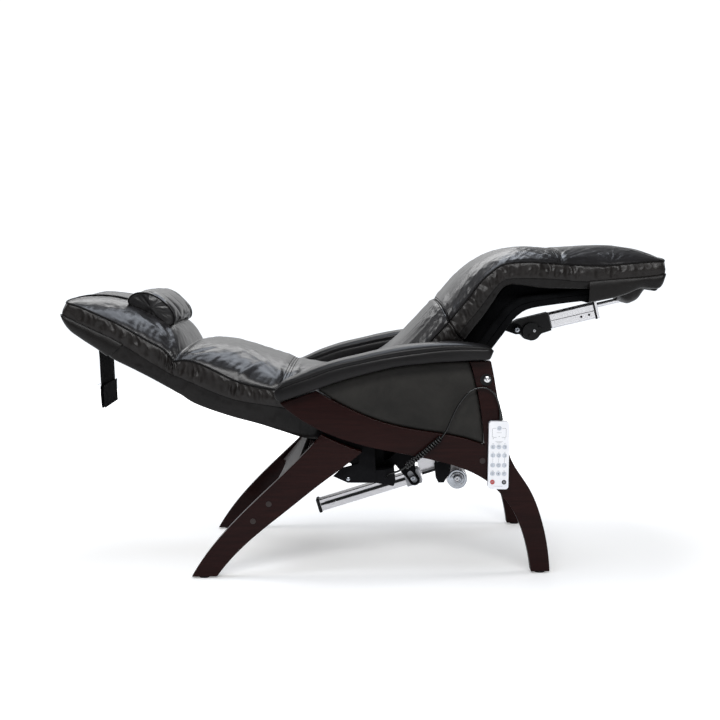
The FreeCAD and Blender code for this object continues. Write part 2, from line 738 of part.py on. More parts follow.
def cord_tube(label, points, radius):
    """A round tube along a route, checked against its section times its length."""
    print(label)
    path = rounded_path(points)
    direction = Vector(*points[1]) - Vector(*points[0])
    circle = Part.makeCircle(radius, Vector(*points[0]), direction)
    tube = path.makePipeShell([Part.Wire([circle])], True, False)
    expected = math.pi * radius ** 2 * path.Length
    if abs(tube.Volume / expected - 1) > 0.01:
        raise RuntimeError("%s has the wrong volume" % label)
    solid_feature(label, tube)


def cords():
    """Handset lead: plain from the handset, curly down to the frame, plain to the control box."""
    y = -size("cord_plane")
    upper = [(398, y, 491), (392, y, 520), (379, y, 545), (357, y, 559), (331, y, 558), (307, y, 546),
             (287, y, 524), (269, y, 497), (255, y, 466), (242, y, 436), (226, y, 414)]
    curly = [(226, y, 414), (203, y, 395), (174, y, 371), (142, y, 346), (116, y, 326)]
    tail = [(116, y, 326), (97, y + 8, 313), (79, y + 26, 306), (67, y + 48, 300), (62, y + 66, 286)]
    cord_tube("handset_cord", upper, size("cord_radius"))
    cord_tube("curly_cord", curly, size("curl_radius"))
    cord_tube("cord_tail", tail, size("cord_radius"))


def cord_relief():
    """Tapered sleeve where the lead leaves the handset."""
    y = -size("cord_plane")
    base = Vector(400.5, y, 460)
    tip = Vector(398, y, 491)
    axis = tip - base
    cone = Part.makeCone(7, 4.2, axis.Length, base, axis)
    cut_away = slab((-30, -400, -100), (30, -340, 100))
    cut_away.Placement = handset_placement()
    solid_feature("cord_relief", cone.cut(cut_away))


# ---------------------------------------------------------------- build and export

def build():
    for make in (side_frames, rear_legs, side_panels, armrests, rear_stretcher, wood_plugs, foot_glides,
                 side_brackets, frame_bolts, motor_crossbar, control_box, cradle_rails, cradle_crossbars,
                 body_board, pads, pillow_parts, lever_bracket, leg_motor_bracket, leg_rails, leg_crossbars,
                 leg_pad, drive_rail, drive_motor, carriage, leg_gearbox, leg_tube, leg_rod, handset,
                 buttons, remote_hook, cords, cord_relief):
        make()


def check():
    """Stop if any object failed or any sub-part has no valid shape."""
    for item in doc.Objects:
        if {"Invalid", "Error"} & set(item.State):
            raise RuntimeError("%s failed: %s" % (item.Label, item.State))
    for item in SUB_PARTS:
        if item.Shape.isNull() or not item.Shape.isValid() or not item.Shape.Solids:
            raise RuntimeError("%s has no valid solid" % item.Label)


def export():
    os.makedirs("parts", exist_ok=True)
    whole = FreeCAD.BoundBox()
    for item in SUB_PARTS:
        item.Shape.exportStep("parts/%s.step" % item.Label)
        whole.add(item.Shape.BoundBox)
    print(len(SUB_PARTS), "sub-parts, box", whole)


build()
doc.recompute()
check()
export()
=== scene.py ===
import math

import bpy
from mathutils import Matrix, Vector, noise
from mathutils.bvhtree import BVHTree


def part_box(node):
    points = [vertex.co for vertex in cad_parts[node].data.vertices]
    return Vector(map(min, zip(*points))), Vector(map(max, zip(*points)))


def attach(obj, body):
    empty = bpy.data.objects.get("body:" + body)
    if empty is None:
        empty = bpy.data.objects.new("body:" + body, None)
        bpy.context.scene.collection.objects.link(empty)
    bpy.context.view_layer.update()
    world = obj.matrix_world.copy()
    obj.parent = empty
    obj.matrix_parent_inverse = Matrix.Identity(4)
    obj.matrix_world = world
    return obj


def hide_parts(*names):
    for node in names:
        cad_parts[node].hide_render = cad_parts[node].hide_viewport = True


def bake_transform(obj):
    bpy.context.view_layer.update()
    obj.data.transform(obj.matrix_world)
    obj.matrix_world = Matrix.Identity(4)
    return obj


# Zero gravity recliner: leather cushions, wood, covers, cords and finishes around
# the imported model.  Lengths in this script are millimetres unless a name says
# metres; +X runs to the feet, the handset is on the side at -Y.

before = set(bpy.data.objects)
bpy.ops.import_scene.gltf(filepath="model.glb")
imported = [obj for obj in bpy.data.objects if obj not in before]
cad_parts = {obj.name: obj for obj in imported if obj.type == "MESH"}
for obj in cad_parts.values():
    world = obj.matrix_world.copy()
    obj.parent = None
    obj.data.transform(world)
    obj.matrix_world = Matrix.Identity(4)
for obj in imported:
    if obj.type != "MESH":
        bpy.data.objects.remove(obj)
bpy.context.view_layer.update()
MM = 0.001


# ---------------------------------------------------------------- small helpers

def metres(point):
    return Vector(point) * MM


def add_object(name, data):
    obj = bpy.data.objects.new(name, data)
    bpy.context.scene.collection.objects.link(obj)
    return obj


def mesh_object(name, verts, faces, material=None, smooth=True):
    """A mesh from points in millimetres."""
    mesh = bpy.data.meshes.new(name)
    mesh.from_pydata([metres(v) for v in verts], [], faces)
    mesh.update()
    for polygon in mesh.polygons:
        polygon.use_smooth = smooth
    if material:
        mesh.materials.append(material)
    return add_object(name, mesh)


def apply_modifiers(obj):
    """Bake an object's modifiers into its own mesh."""
    depsgraph = bpy.context.evaluated_depsgraph_get()
    depsgraph.update()
    baked = bpy.data.meshes.new_from_object(obj.evaluated_get(depsgraph))
    obj.modifiers.clear()
    obj.data = baked
    for polygon in baked.polygons:
        polygon.use_smooth = True
    return obj


def join(name, objects):
    """Join mesh objects into one, keeping their materials."""
    bpy.ops.object.select_all(action="DESELECT")
    for obj in objects:
        obj.select_set(True)
    bpy.context.view_layer.objects.active = objects[0]
    bpy.ops.object.join()
    objects[0].name = name
    return objects[0]


def clamp(value, low=0.0, high=1.0):
    return max(low, min(high, value))


def circle(centre, across, other, radius, sides):
    """Points round a circle that lies in the plane of two directions."""
    turns = [2 * math.pi * k / sides for k in range(sides)]
    return [centre + (across * math.cos(turn) + other * math.sin(turn)) * radius for turn in turns]


def sweep_faces(rings, count, first=0, flip=False):
    """Faces between rings of points that are numbered one after another."""
    faces = []
    for i in range(rings - 1):
        for k in range(count):
            a, b = first + i * count + k, first + i * count + (k + 1) % count
            faces.append((a, a + count, b + count, b) if flip else (a, b, b + count, a + count))
    return faces


def close_end(verts, faces, outline, shares, place_at, middle, flip):
    """Close an end with rings that shrink to a middle point; place_at gives a ring's points."""
    count = len(outline)
    for share in shares:
        first = len(verts)
        verts += place_at(share)
        for k in range(count):
            face = (outline[k], outline[(k + 1) % count], first + (k + 1) % count, first + k)
            faces.append(face[::-1] if flip else face)
        outline = range(first, first + count)
    verts.append(middle)
    for k in range(count):
        face = (outline[k], outline[(k + 1) % count], len(verts) - 1)
        faces.append(face[::-1] if flip else face)


def smooth_between(values, position):
    """Catmull-Rom value at a position along a list of rows of numbers."""
    last = len(values) - 1
    index = min(int(position), last - 1)
    t = position - index
    rows = [values[clamp(index + k, 0, last)] for k in (-1, 0, 1, 2)]
    result = []
    for a, b, c, d in zip(*rows):
        result.append(0.5 * (2 * b + (c - a) * t + (2 * a - 5 * b + 4 * c - d) * t * t
                             + (3 * b - a - 3 * c + d) * t ** 3))
    return result


def smooth_line(rows, steps):
    """Rows along a smooth line, a number of steps from each given row to the next."""
    return [smooth_between(rows, i / steps) for i in range((len(rows) - 1) * steps + 1)]


def shares_across(cells):
    """Even shares from -1 at one edge to 1 at the other."""
    return [2 * k / cells - 1 for k in range(cells + 1)]


# ---------------------------------------------------------------- materials

class Nodes:
    """Short calls for building a procedural material."""

    def __init__(self, name):
        self.material = bpy.data.materials.new(name)
        self.material.use_nodes = True
        self.tree = self.material.node_tree
        self.shader = self.tree.nodes["Principled BSDF"]
        self.place = self.add("ShaderNodeTexCoord").outputs["Object"]

    def add(self, kind, **settings):
        node = self.tree.nodes.new(kind)
        for key, value in settings.items():
            setattr(node, key, value)
        return node

    def link(self, source, target):
        self.tree.links.new(source, target)

    def stretched(self, scale, turn=(0, 0, 0)):
        node = self.add("ShaderNodeMapping")
        node.inputs["Scale"].default_value = scale
        node.inputs["Rotation"].default_value = [math.radians(angle) for angle in turn]
        self.link(self.place, node.inputs["Vector"])
        return node.outputs["Vector"]

    def noise(self, scale, detail=3.0, rough=0.55, distortion=0.0, vector=None):
        node = self.add("ShaderNodeTexNoise")
        node.inputs["Scale"].default_value = scale
        node.inputs["Detail"].default_value = detail
        node.inputs["Roughness"].default_value = rough
        node.inputs["Distortion"].default_value = distortion
        self.link(vector or self.place, node.inputs["Vector"])
        return node.outputs["Fac"]

    def cells(self, scale):
        node = self.add("ShaderNodeTexVoronoi", feature="F1")
        node.inputs["Scale"].default_value = scale
        self.link(self.place, node.inputs["Vector"])
        return node.outputs["Distance"]

    def wave(self, scale, distortion, direction):
        node = self.add("ShaderNodeTexWave", bands_direction=direction)
        node.inputs["Scale"].default_value = scale
        node.inputs["Distortion"].default_value = distortion
        node.inputs["Detail"].default_value = 2.0
        self.link(self.place, node.inputs["Vector"])
        return node.outputs["Fac"]

    def ramp(self, value, stops):
        node = self.add("ShaderNodeValToRGB")
        ramp = node.color_ramp
        while len(ramp.elements) < len(stops):
            ramp.elements.new(0.5)
        for element, (position, colour) in zip(ramp.elements, stops):
            element.position = position
            element.color = (*colour, 1.0)
        self.link(value, node.inputs["Fac"])
        return node.outputs["Color"]

    def span(self, value, low, high, from_low=0.0, from_high=1.0):
        node = self.add("ShaderNodeMapRange")
        ends = {"From Min": from_low, "From Max": from_high, "To Min": low, "To Max": high}
        for key, number in ends.items():
            node.inputs[key].default_value = number
        self.link(value, node.inputs["Value"])
        return node.outputs["Result"]

    def bumps(self, *layers):
        """Chain bump layers, each (height, strength, distance in millimetres)."""
        normal = None
        for height, strength, distance in layers:
            node = self.add("ShaderNodeBump")
            node.inputs["Strength"].default_value = strength
            node.inputs["Distance"].default_value = distance * MM
            self.link(height, node.inputs["Height"])
            if normal:
                self.link(normal, node.inputs["Normal"])
            normal = node.outputs["Normal"]
        self.link(normal, self.shader.inputs["Normal"])

    def finish(self, colour=None, roughness=None, **sockets):
        if colour is not None:
            self.link(colour, self.shader.inputs["Base Color"])
        if roughness is not None:
            self.link(roughness, self.shader.inputs["Roughness"])
        for name, value in sockets.items():
            self.shader.inputs[name.replace("_", " ")].default_value = value
        return self.material


def leather(name, dark, light, rough, crease, coat, gloss=0.33, grain=0.22):
    """Grained leather: colour drifts over the hide, fine pebbles and faint creases in the surface.

    The roughness drifts between two values, and crease, coat, gloss and grain are
    how strongly the creases, the lacquer, the shine and the pebbles show.
    """
    n = Nodes(name)
    hide = n.noise(7.0, 5.0, 0.6, 0.4)
    colour = n.ramp(hide, [(0.3, dark), (0.7, light)])
    pebbles = n.cells(620.0)
    fine = n.noise(900.0, 2.0)
    folds = n.noise(42.0, 5.0, 0.62, 0.9)
    n.bumps((folds, crease, 1.6), (pebbles, grain, 0.35), (fine, 0.5 * grain, 0.15))
    return n.finish(colour, n.span(n.noise(16.0, 4.0), *rough), Coat_Weight=coat,
                    Coat_Roughness=0.28, Specular_IOR_Level=gloss)


def wood():
    """Espresso-stained wood with long grain, open pores and a satin lacquer."""
    n = Nodes("espresso_wood")
    along = n.stretched((2.0, 26.0, 26.0), (0, 24, 0))
    grain = n.noise(3.2, 7.0, 0.62, 1.2, along)
    pores = n.noise(34.0, 3.0, 0.7, 0.0, along)
    colour = n.ramp(grain, [(0.25, (0.0080, 0.0015, 0.0013)), (0.5, (0.0130, 0.0026, 0.0022)),
                            (0.8, (0.0210, 0.0048, 0.0040))])
    n.bumps((pores, 0.10, 0.25), (grain, 0.05, 0.5))
    return n.finish(colour, n.span(grain, 0.30, 0.44), Specular_IOR_Level=0.06, Coat_Weight=0.14,
                    Coat_Roughness=0.12)


def metal(name, low, high, rough, stretch=(4.0, 220.0, 220.0), metallic=1.0):
    """Metal with fine drawn lines along its length."""
    n = Nodes(name)
    lines = n.noise(5.0, 4.0, 0.6, 0.0, n.stretched(stretch))
    colour = n.ramp(lines, [(0.3, low), (0.7, high)])
    n.bumps((lines, 0.08, 0.1))
    return n.finish(colour, n.span(lines, rough - 0.05, rough + 0.07), Metallic=metallic)


def plastic(name, dark, light, rough, texture=1400.0, strength=0.12, coat=0.0, gloss=0.5):
    """Moulded plastic with a fine spark-eroded texture."""
    n = Nodes(name)
    colour = n.ramp(n.noise(12.0, 3.0), [(0.35, dark), (0.65, light)])
    n.bumps((n.noise(texture, 2.0), strength, 0.08))
    return n.finish(colour, n.span(n.noise(40.0), rough - 0.04, rough + 0.05), Coat_Weight=coat,
                    Coat_Roughness=0.15, Specular_IOR_Level=gloss)


def fabric(name, dark, light, threads=900.0):
    """Close woven black cloth."""
    n = Nodes(name)
    weave = n.add("ShaderNodeMath", operation="MULTIPLY")
    for direction, socket in zip("XZ", weave.inputs):
        n.link(n.wave(threads, 0.6, direction), socket)
    colour = n.ramp(n.noise(30.0, 4.0), [(0.3, dark), (0.7, light)])
    n.bumps((n.noise(18.0, 4.0), 0.35, 2.0), (weave.outputs[0], 0.3, 0.25))
    return n.finish(colour, n.span(n.noise(60.0), 0.78, 0.92), Specular_IOR_Level=0.05)


CUSHION = leather("cushion_leather", (0.0062, 0.0056, 0.0060), (0.0110, 0.0100, 0.0106), (0.28, 0.37),
                  0.16, 0.20, grain=0.12)
BAND = leather("band_leather", (0.0070, 0.0056, 0.0050), (0.0125, 0.0100, 0.0090), (0.34, 0.44),
               0.30, 0.08, 0.28, 0.15)
# The skirt's leather is a darker copy of the band's: painted shade on the low, downward-facing skirt and on
# the end boots.
SKIRT = leather("skirt_leather_shaded", (0.0040, 0.0034, 0.0032), (0.0080, 0.0068, 0.0064), (0.36, 0.48),
                0.35, 0.08, 0.18)
PANEL = leather("panel_leather", (0.0095, 0.0090, 0.0082), (0.0250, 0.0235, 0.0210), (0.44, 0.58),
                0.25, 0.02, 0.20)
ARM = leather("arm_leather", (0.0045, 0.0041, 0.0043), (0.0085, 0.0079, 0.0082), (0.30, 0.40),
              0.25, 0.12, 0.18)
PIPING = leather("piping_leather", (0.0030, 0.0027, 0.0027), (0.0055, 0.0049, 0.0049), (0.40, 0.52),
                 0.20, 0.0, 0.10)
WOOD = wood()
PALE = plastic("slider_plastic", (0.50, 0.51, 0.54), (0.60, 0.61, 0.64), 0.35, 900.0, 0.08)
WOOD_PLUG = plastic("wood_plug", (0.012, 0.006, 0.005), (0.024, 0.012, 0.010), 0.5, 700.0, 0.3)
ALUMINIUM = metal("satin_aluminium", (0.74, 0.73, 0.75), (0.86, 0.85, 0.87), 0.28, metallic=0.75)
BRIGHT = metal("bright_aluminium", (0.86, 0.86, 0.89), (0.94, 0.94, 0.97), 0.24, metallic=0.85)
ZINC = metal("zinc_plate", (0.40, 0.42, 0.46), (0.62, 0.65, 0.70), 0.22, (40.0, 40.0, 40.0))
CHROME = metal("chrome", (0.72, 0.72, 0.73), (0.85, 0.85, 0.86), 0.10, (30.0, 30.0, 30.0))
STEEL = plastic("black_powder_coat", (0.0025, 0.0025, 0.0032), (0.006, 0.006, 0.007), 0.42, 1100.0, 0.25,
                gloss=0.06)
BLACK = plastic("black_plastic", (0.004, 0.004, 0.0045), (0.008, 0.008, 0.009), 0.36, gloss=0.25)
RUBBER = plastic("cable_rubber", (0.0012, 0.0012, 0.0012), (0.0024, 0.0024, 0.0024), 0.26, 900.0, 0.05,
                 gloss=0.6)
WHITE = plastic("handset_white", (0.90, 0.91, 0.95), (0.94, 0.95, 0.98), 0.32, 1600.0, 0.05, 0.2)
GREY = plastic("handset_grey", (0.24, 0.26, 0.30), (0.30, 0.32, 0.36), 0.40)
KEY = plastic("key_grey", (0.55, 0.59, 0.66), (0.62, 0.66, 0.73), 0.30, 1600.0, 0.04, 0.2)
KEY_RED = plastic("key_red", (0.42, 0.016, 0.012), (0.52, 0.022, 0.016), 0.28, 1600.0, 0.04, 0.3)
KEY_BLACK = plastic("key_black", (0.012, 0.012, 0.014), (0.020, 0.020, 0.022), 0.30, 1600.0, 0.04, 0.3)
PRINT = plastic("printed_grey", (0.10, 0.11, 0.13), (0.14, 0.15, 0.17), 0.5)
CLOTH = fabric("black_cloth", (0.0022, 0.0023, 0.0027), (0.0050, 0.0052, 0.0058))
PLY = plastic("stained_plywood", (0.010, 0.009, 0.008), (0.020, 0.018, 0.016), 0.55, 300.0, 0.3)
THREAD = fabric("black_thread", (0.0050, 0.0048, 0.0046), (0.0100, 0.0095, 0.0090), 1500.0)


# ---------------------------------------------------------------- camera, light, floor

def add_camera():
    """Side view from the handset side, a little from above, framed like a catalogue shot."""
    data = bpy.data.cameras.new("camera")
    data.sensor_width = 36.0
    data.lens = 62.9
    data.clip_end = 50.0
    camera = add_object("camera", data)
    turn, down, roll = math.radians(0.594), math.radians(4.98), math.radians(-1.05)
    camera.matrix_world = (Matrix.Translation((0.0283, -4.0264, 0.9645)) @ Matrix.Rotation(turn, 4, "Z")
                           @ Matrix.Rotation(math.pi / 2 - down, 4, "X") @ Matrix.Rotation(roll, 4, "Z"))
    bpy.context.scene.camera = camera


def add_light(name, place, target, size, power, tint=(1.0, 1.0, 1.0)):
    data = bpy.data.lights.new(name, "AREA")
    data.shape = "RECTANGLE"
    data.size, data.size_y = size
    data.energy = power
    data.color = tint
    light = add_object(name, data)
    light.visible_camera = False
    light.location = place
    light.rotation_euler = (Vector(target) - Vector(place)).to_track_quat("-Z", "Y").to_euler()


def floor_paint():
    """White floor paper with painted light: it glows, weakly near the chair and more with distance from it,
    at full strength only to the camera, and a softer grey in the leather's reflections.
    """
    n = Nodes("studio_white_glow")
    distance = n.add("ShaderNodeVectorMath", operation="LENGTH")
    n.link(n.place, distance.inputs[0])
    # Painted light: the floor's glow rises with distance from the chair.
    glow = n.span(distance.outputs["Value"], 0.27, 1.35, 0.95, 2.9)
    strength = n.add("ShaderNodeMath", operation="MULTIPLY")
    n.link(glow, strength.inputs[0])
    seen = n.add("ShaderNodeLightPath").outputs["Is Camera Ray"]
    n.link(n.span(seen, 0.08, 1.0), strength.inputs[1])
    n.link(strength.outputs[0], n.shader.inputs["Emission Strength"])
    tone = n.ramp(n.noise(0.6, 2.0), [(0.3, (0.80, 0.80, 0.80)), (0.7, (0.84, 0.84, 0.84))])
    return n.finish(tone, n.span(n.noise(3.0), 0.75, 0.85), Specular_IOR_Level=0.1,
                    Emission_Color=(1.0, 1.0, 1.0, 1.0))


def add_studio():
    """White floor under a white surround, and soft lights overhead, in front, behind and at the sides."""
    corners = [(-7000, -6000, 0), (7000, -6000, 0), (7000, 5000, 0), (-7000, 5000, 0)]
    floor = mesh_object("studio_floor", corners, [(0, 1, 2, 3)], floor_paint())
    add_light("top_light", (-0.2, 0.1, 2.9), (0.0, 0.0, 0.5), (3.4, 0.85), 50, (0.84, 0.90, 1.0))
    add_light("front_light", (0.2, -3.6, 3.0), (0.0, 0.0, 0.4), (3.0, 0.9), 102)
    add_light("left_light", (-3.2, 0.3, 2.4), (0.0, 0.0, 0.6), (1.2, 1.8), 50)
    add_light("right_light", (3.6, 0.2, 2.4), (0.4, 0.0, 0.7), (1.0, 1.8), 36)
    add_light("back_light", (0.0, 4.3, 1.4), (0.0, 0.0, 0.9), (7.0, 1.8), 24)
    add_light("high_back_light", (-0.5, 3.4, 3.1), (0.2, 0.0, 0.8), (2.8, 1.5), 40)
    add_light("low_front_light", (1.3, -4.0, 0.6), (0.65, 0.0, 0.75), (1.6, 1.0), 4.5)
    world = bpy.data.worlds.new("studio")
    world.use_nodes = True
    tree = world.node_tree
    background = tree.nodes["Background"]
    background.inputs["Color"].default_value = (0.93, 0.96, 1.0, 1.0)
    strength = tree.nodes.new("ShaderNodeMapRange")
    strength.inputs["To Min"].default_value = 0.15
    strength.inputs["To Max"].default_value = 1.15
    seen = tree.nodes.new("ShaderNodeLightPath").outputs["Is Camera Ray"]
    tree.links.new(seen, strength.inputs["Value"])
    tree.links.new(strength.outputs["Result"], background.inputs["Strength"])
    bpy.context.scene.world = world
    bpy.context.scene.view_settings.view_transform = "Standard"


add_camera()
add_studio()


# ---------------------------------------------------------------- cushions

HALF_WIDTH = 285.0      # piping line of the cushions, each side of the middle
SKIRT_INSET = 10.0      # how far the lower edge of the side lies inside the piping
CELL = 8.5              # spacing of the leather's mesh

# Each row is one cross-section, from the head end to the thigh seam: the crown in the
# middle, the piping, the lower seam of the side band and the lower edge, each as x and z.
CRADLE_ROWS = [
    (-886, 834, -886, 826, -903, 790, -899, 768),
    (-856, 838, -846, 814, -850, 763, -852, 727),
    (-812, 836, -793, 789, -798, 737, -800, 688),
    (-765, 831, -741, 764, -745, 711, -752, 651),
    (-715, 820, -690, 734, -696, 681, -700, 624),
    (-665, 799, -640, 704, -640, 643, -640, 592),
    (-610, 768, -602, 682, -602, 620, -600, 569),
    (-556, 726, -580, 658, -580, 607, -575, 554),
    (-538, 682, -567, 644, -567, 601, -562, 546),
    (-520, 690, -550, 646, -550, 594, -548, 538),
    (-484, 692, -515, 644, -515, 578, -515, 515),
    (-430, 683, -460, 620, -455, 550, -460, 492),
    (-370, 666, -390, 583, -385, 524, -390, 468),
    (-300, 643, -325, 563, -315, 511, -320, 448),
    (-222, 618, -252, 549, -245, 499, -250, 424),
    (-160, 601, -180, 530, -175, 480, -178, 402),
    (-95, 592, -100, 516, -95, 466, -95, 400),
    (-20, 603, -30, 528, -25, 472, -22, 412),
    (50, 636, 40, 560, 45, 500, 54, 462),
    (110, 680, 105, 606, 112, 548, 130, 512),
    (160, 728, 168, 658, 190, 608, 210, 590),
    (203, 772, 222, 712, 245, 664, 264, 648),
    (233, 803, 258, 750, 283, 706, 302, 690),
]

# The same for the leg cushion, from the thigh seam over the knee to the foot end.
LEG_ROWS = [
    (233, 803, 258, 750, 283, 706, 302, 690),
    (262, 836, 285, 782, 308, 738, 327, 722),
    (298, 876, 316, 818, 340, 774, 359, 760),
    (340, 916, 348, 860, 372, 815, 390, 803),
    (385, 945, 385, 893, 398, 848, 414, 838),
    (430, 961, 420, 915, 424, 868, 436, 853),
    (480, 967, 470, 921, 465, 872, 470, 852),
    (540, 964, 540, 918, 540, 870, 540, 842),
    (583, 959, 590, 913, 590, 866, 590, 840),
    (645, 961, 650, 909, 650, 859, 650, 838),
    (712, 963, 712, 906, 712, 861, 712, 838),
    (770, 963, 772, 909, 772, 865, 772, 842),
    (825, 959, 825, 913, 825, 868, 825, 846),
    (869, 944, 871, 916, 871, 872, 870, 854),
    (896, 924, 899, 918, 902, 877, 897, 864),
]

END_ROUND = 13.0        # rounding of the cushions' corners, seen from above
BAND_BULGE = 5.0        # how far the side band bellies out
END_BULGE = 4.0         # and the ends

# Cells round one cross-section, and the columns where its seams run at -Y and at +Y.
ACROSS = 66
BAND_CELLS = 6
SKIRT_CELLS = 5
UNDER_CELLS = 16
UNDER = 9               # place round the ring that stands for the underside and the ends
SKIRT_END = 2.99        # place round the ring where the skirt's lower edge begins
BAND_AT = ACROSS + BAND_CELLS
LOW_AT = BAND_AT + SKIRT_CELLS
RING = ACROSS + 1 + 2 * (BAND_CELLS + SKIRT_CELLS) + UNDER_CELLS - 1
SEAM_COLUMNS = {
    "piping": (0, ACROSS),
    "band": (RING - BAND_CELLS, BAND_AT),
    "low": (RING - BAND_CELLS - SKIRT_CELLS, LOW_AT),
}


def run_lengths(rows):
    """Distance along the piping from the first row to each row."""
    total = [0.0]
    for before, after in zip(rows, rows[1:]):
        total.append(total[-1] + math.dist(before[2:4], after[2:4]))
    return total


def stations(rows):
    """Row positions along a cushion, about one cell apart."""
    places = []
    for index, (before, after) in enumerate(zip(rows, rows[1:])):
        run = max(math.dist(before[2:4], after[2:4]), math.dist(before[0:2], after[0:2]))
        count = max(1, round(run / CELL))
        places += [index + step / count for step in range(count)]
    return places + [len(rows) - 1]


def corner_width(reach):
    """How far a rounded corner has opened at a distance from the end."""
    return math.sqrt(END_ROUND ** 2 - (END_ROUND - reach) ** 2)


def section(row, width):
    """Points round one cross-section: crown, band and skirt at +Y, underside, skirt and band at -Y.

    With each point comes its place round the ring: -1 to 1 over the crown, 1 to 2
    down the band, 2 to 3 down the skirt, and UNDER below the cushion; negative at -Y.
    """
    top_x, top_z, pipe_x, pipe_z, band_x, band_z, low_x, low_z = row
    points = []
    for i in range(ACROSS + 1):
        t = 0.62 * (2 * i / ACROSS - 1) - 0.38 * math.cos(math.pi * i / ACROSS)
        share = (1 - abs(t) ** 4.2) ** 0.62
        points.append((pipe_x + (top_x - pipe_x) * share, width * t, pipe_z + (top_z - pipe_z) * share, t))
    down = []
    for i in range(1, BAND_CELLS + 1):
        t = i / BAND_CELLS
        bulge = BAND_BULGE * math.sin(math.pi * t)
        down.append((pipe_x + (band_x - pipe_x) * t, width + bulge, pipe_z + (band_z - pipe_z) * t, 1 + t))
    for i in range(1, SKIRT_CELLS + 1):
        t = i / SKIRT_CELLS
        down.append((band_x + (low_x - band_x) * t, width - SKIRT_INSET * t * t,
                     band_z + (low_z - band_z) * t, 2 + t))
    under = [(low_x, (width - SKIRT_INSET) * (1 - 2 * i / UNDER_CELLS), low_z, UNDER)
             for i in range(1, UNDER_CELLS)]
    return points + down + under + [(x, -y, z, -t) for x, y, z, t in down[::-1]]


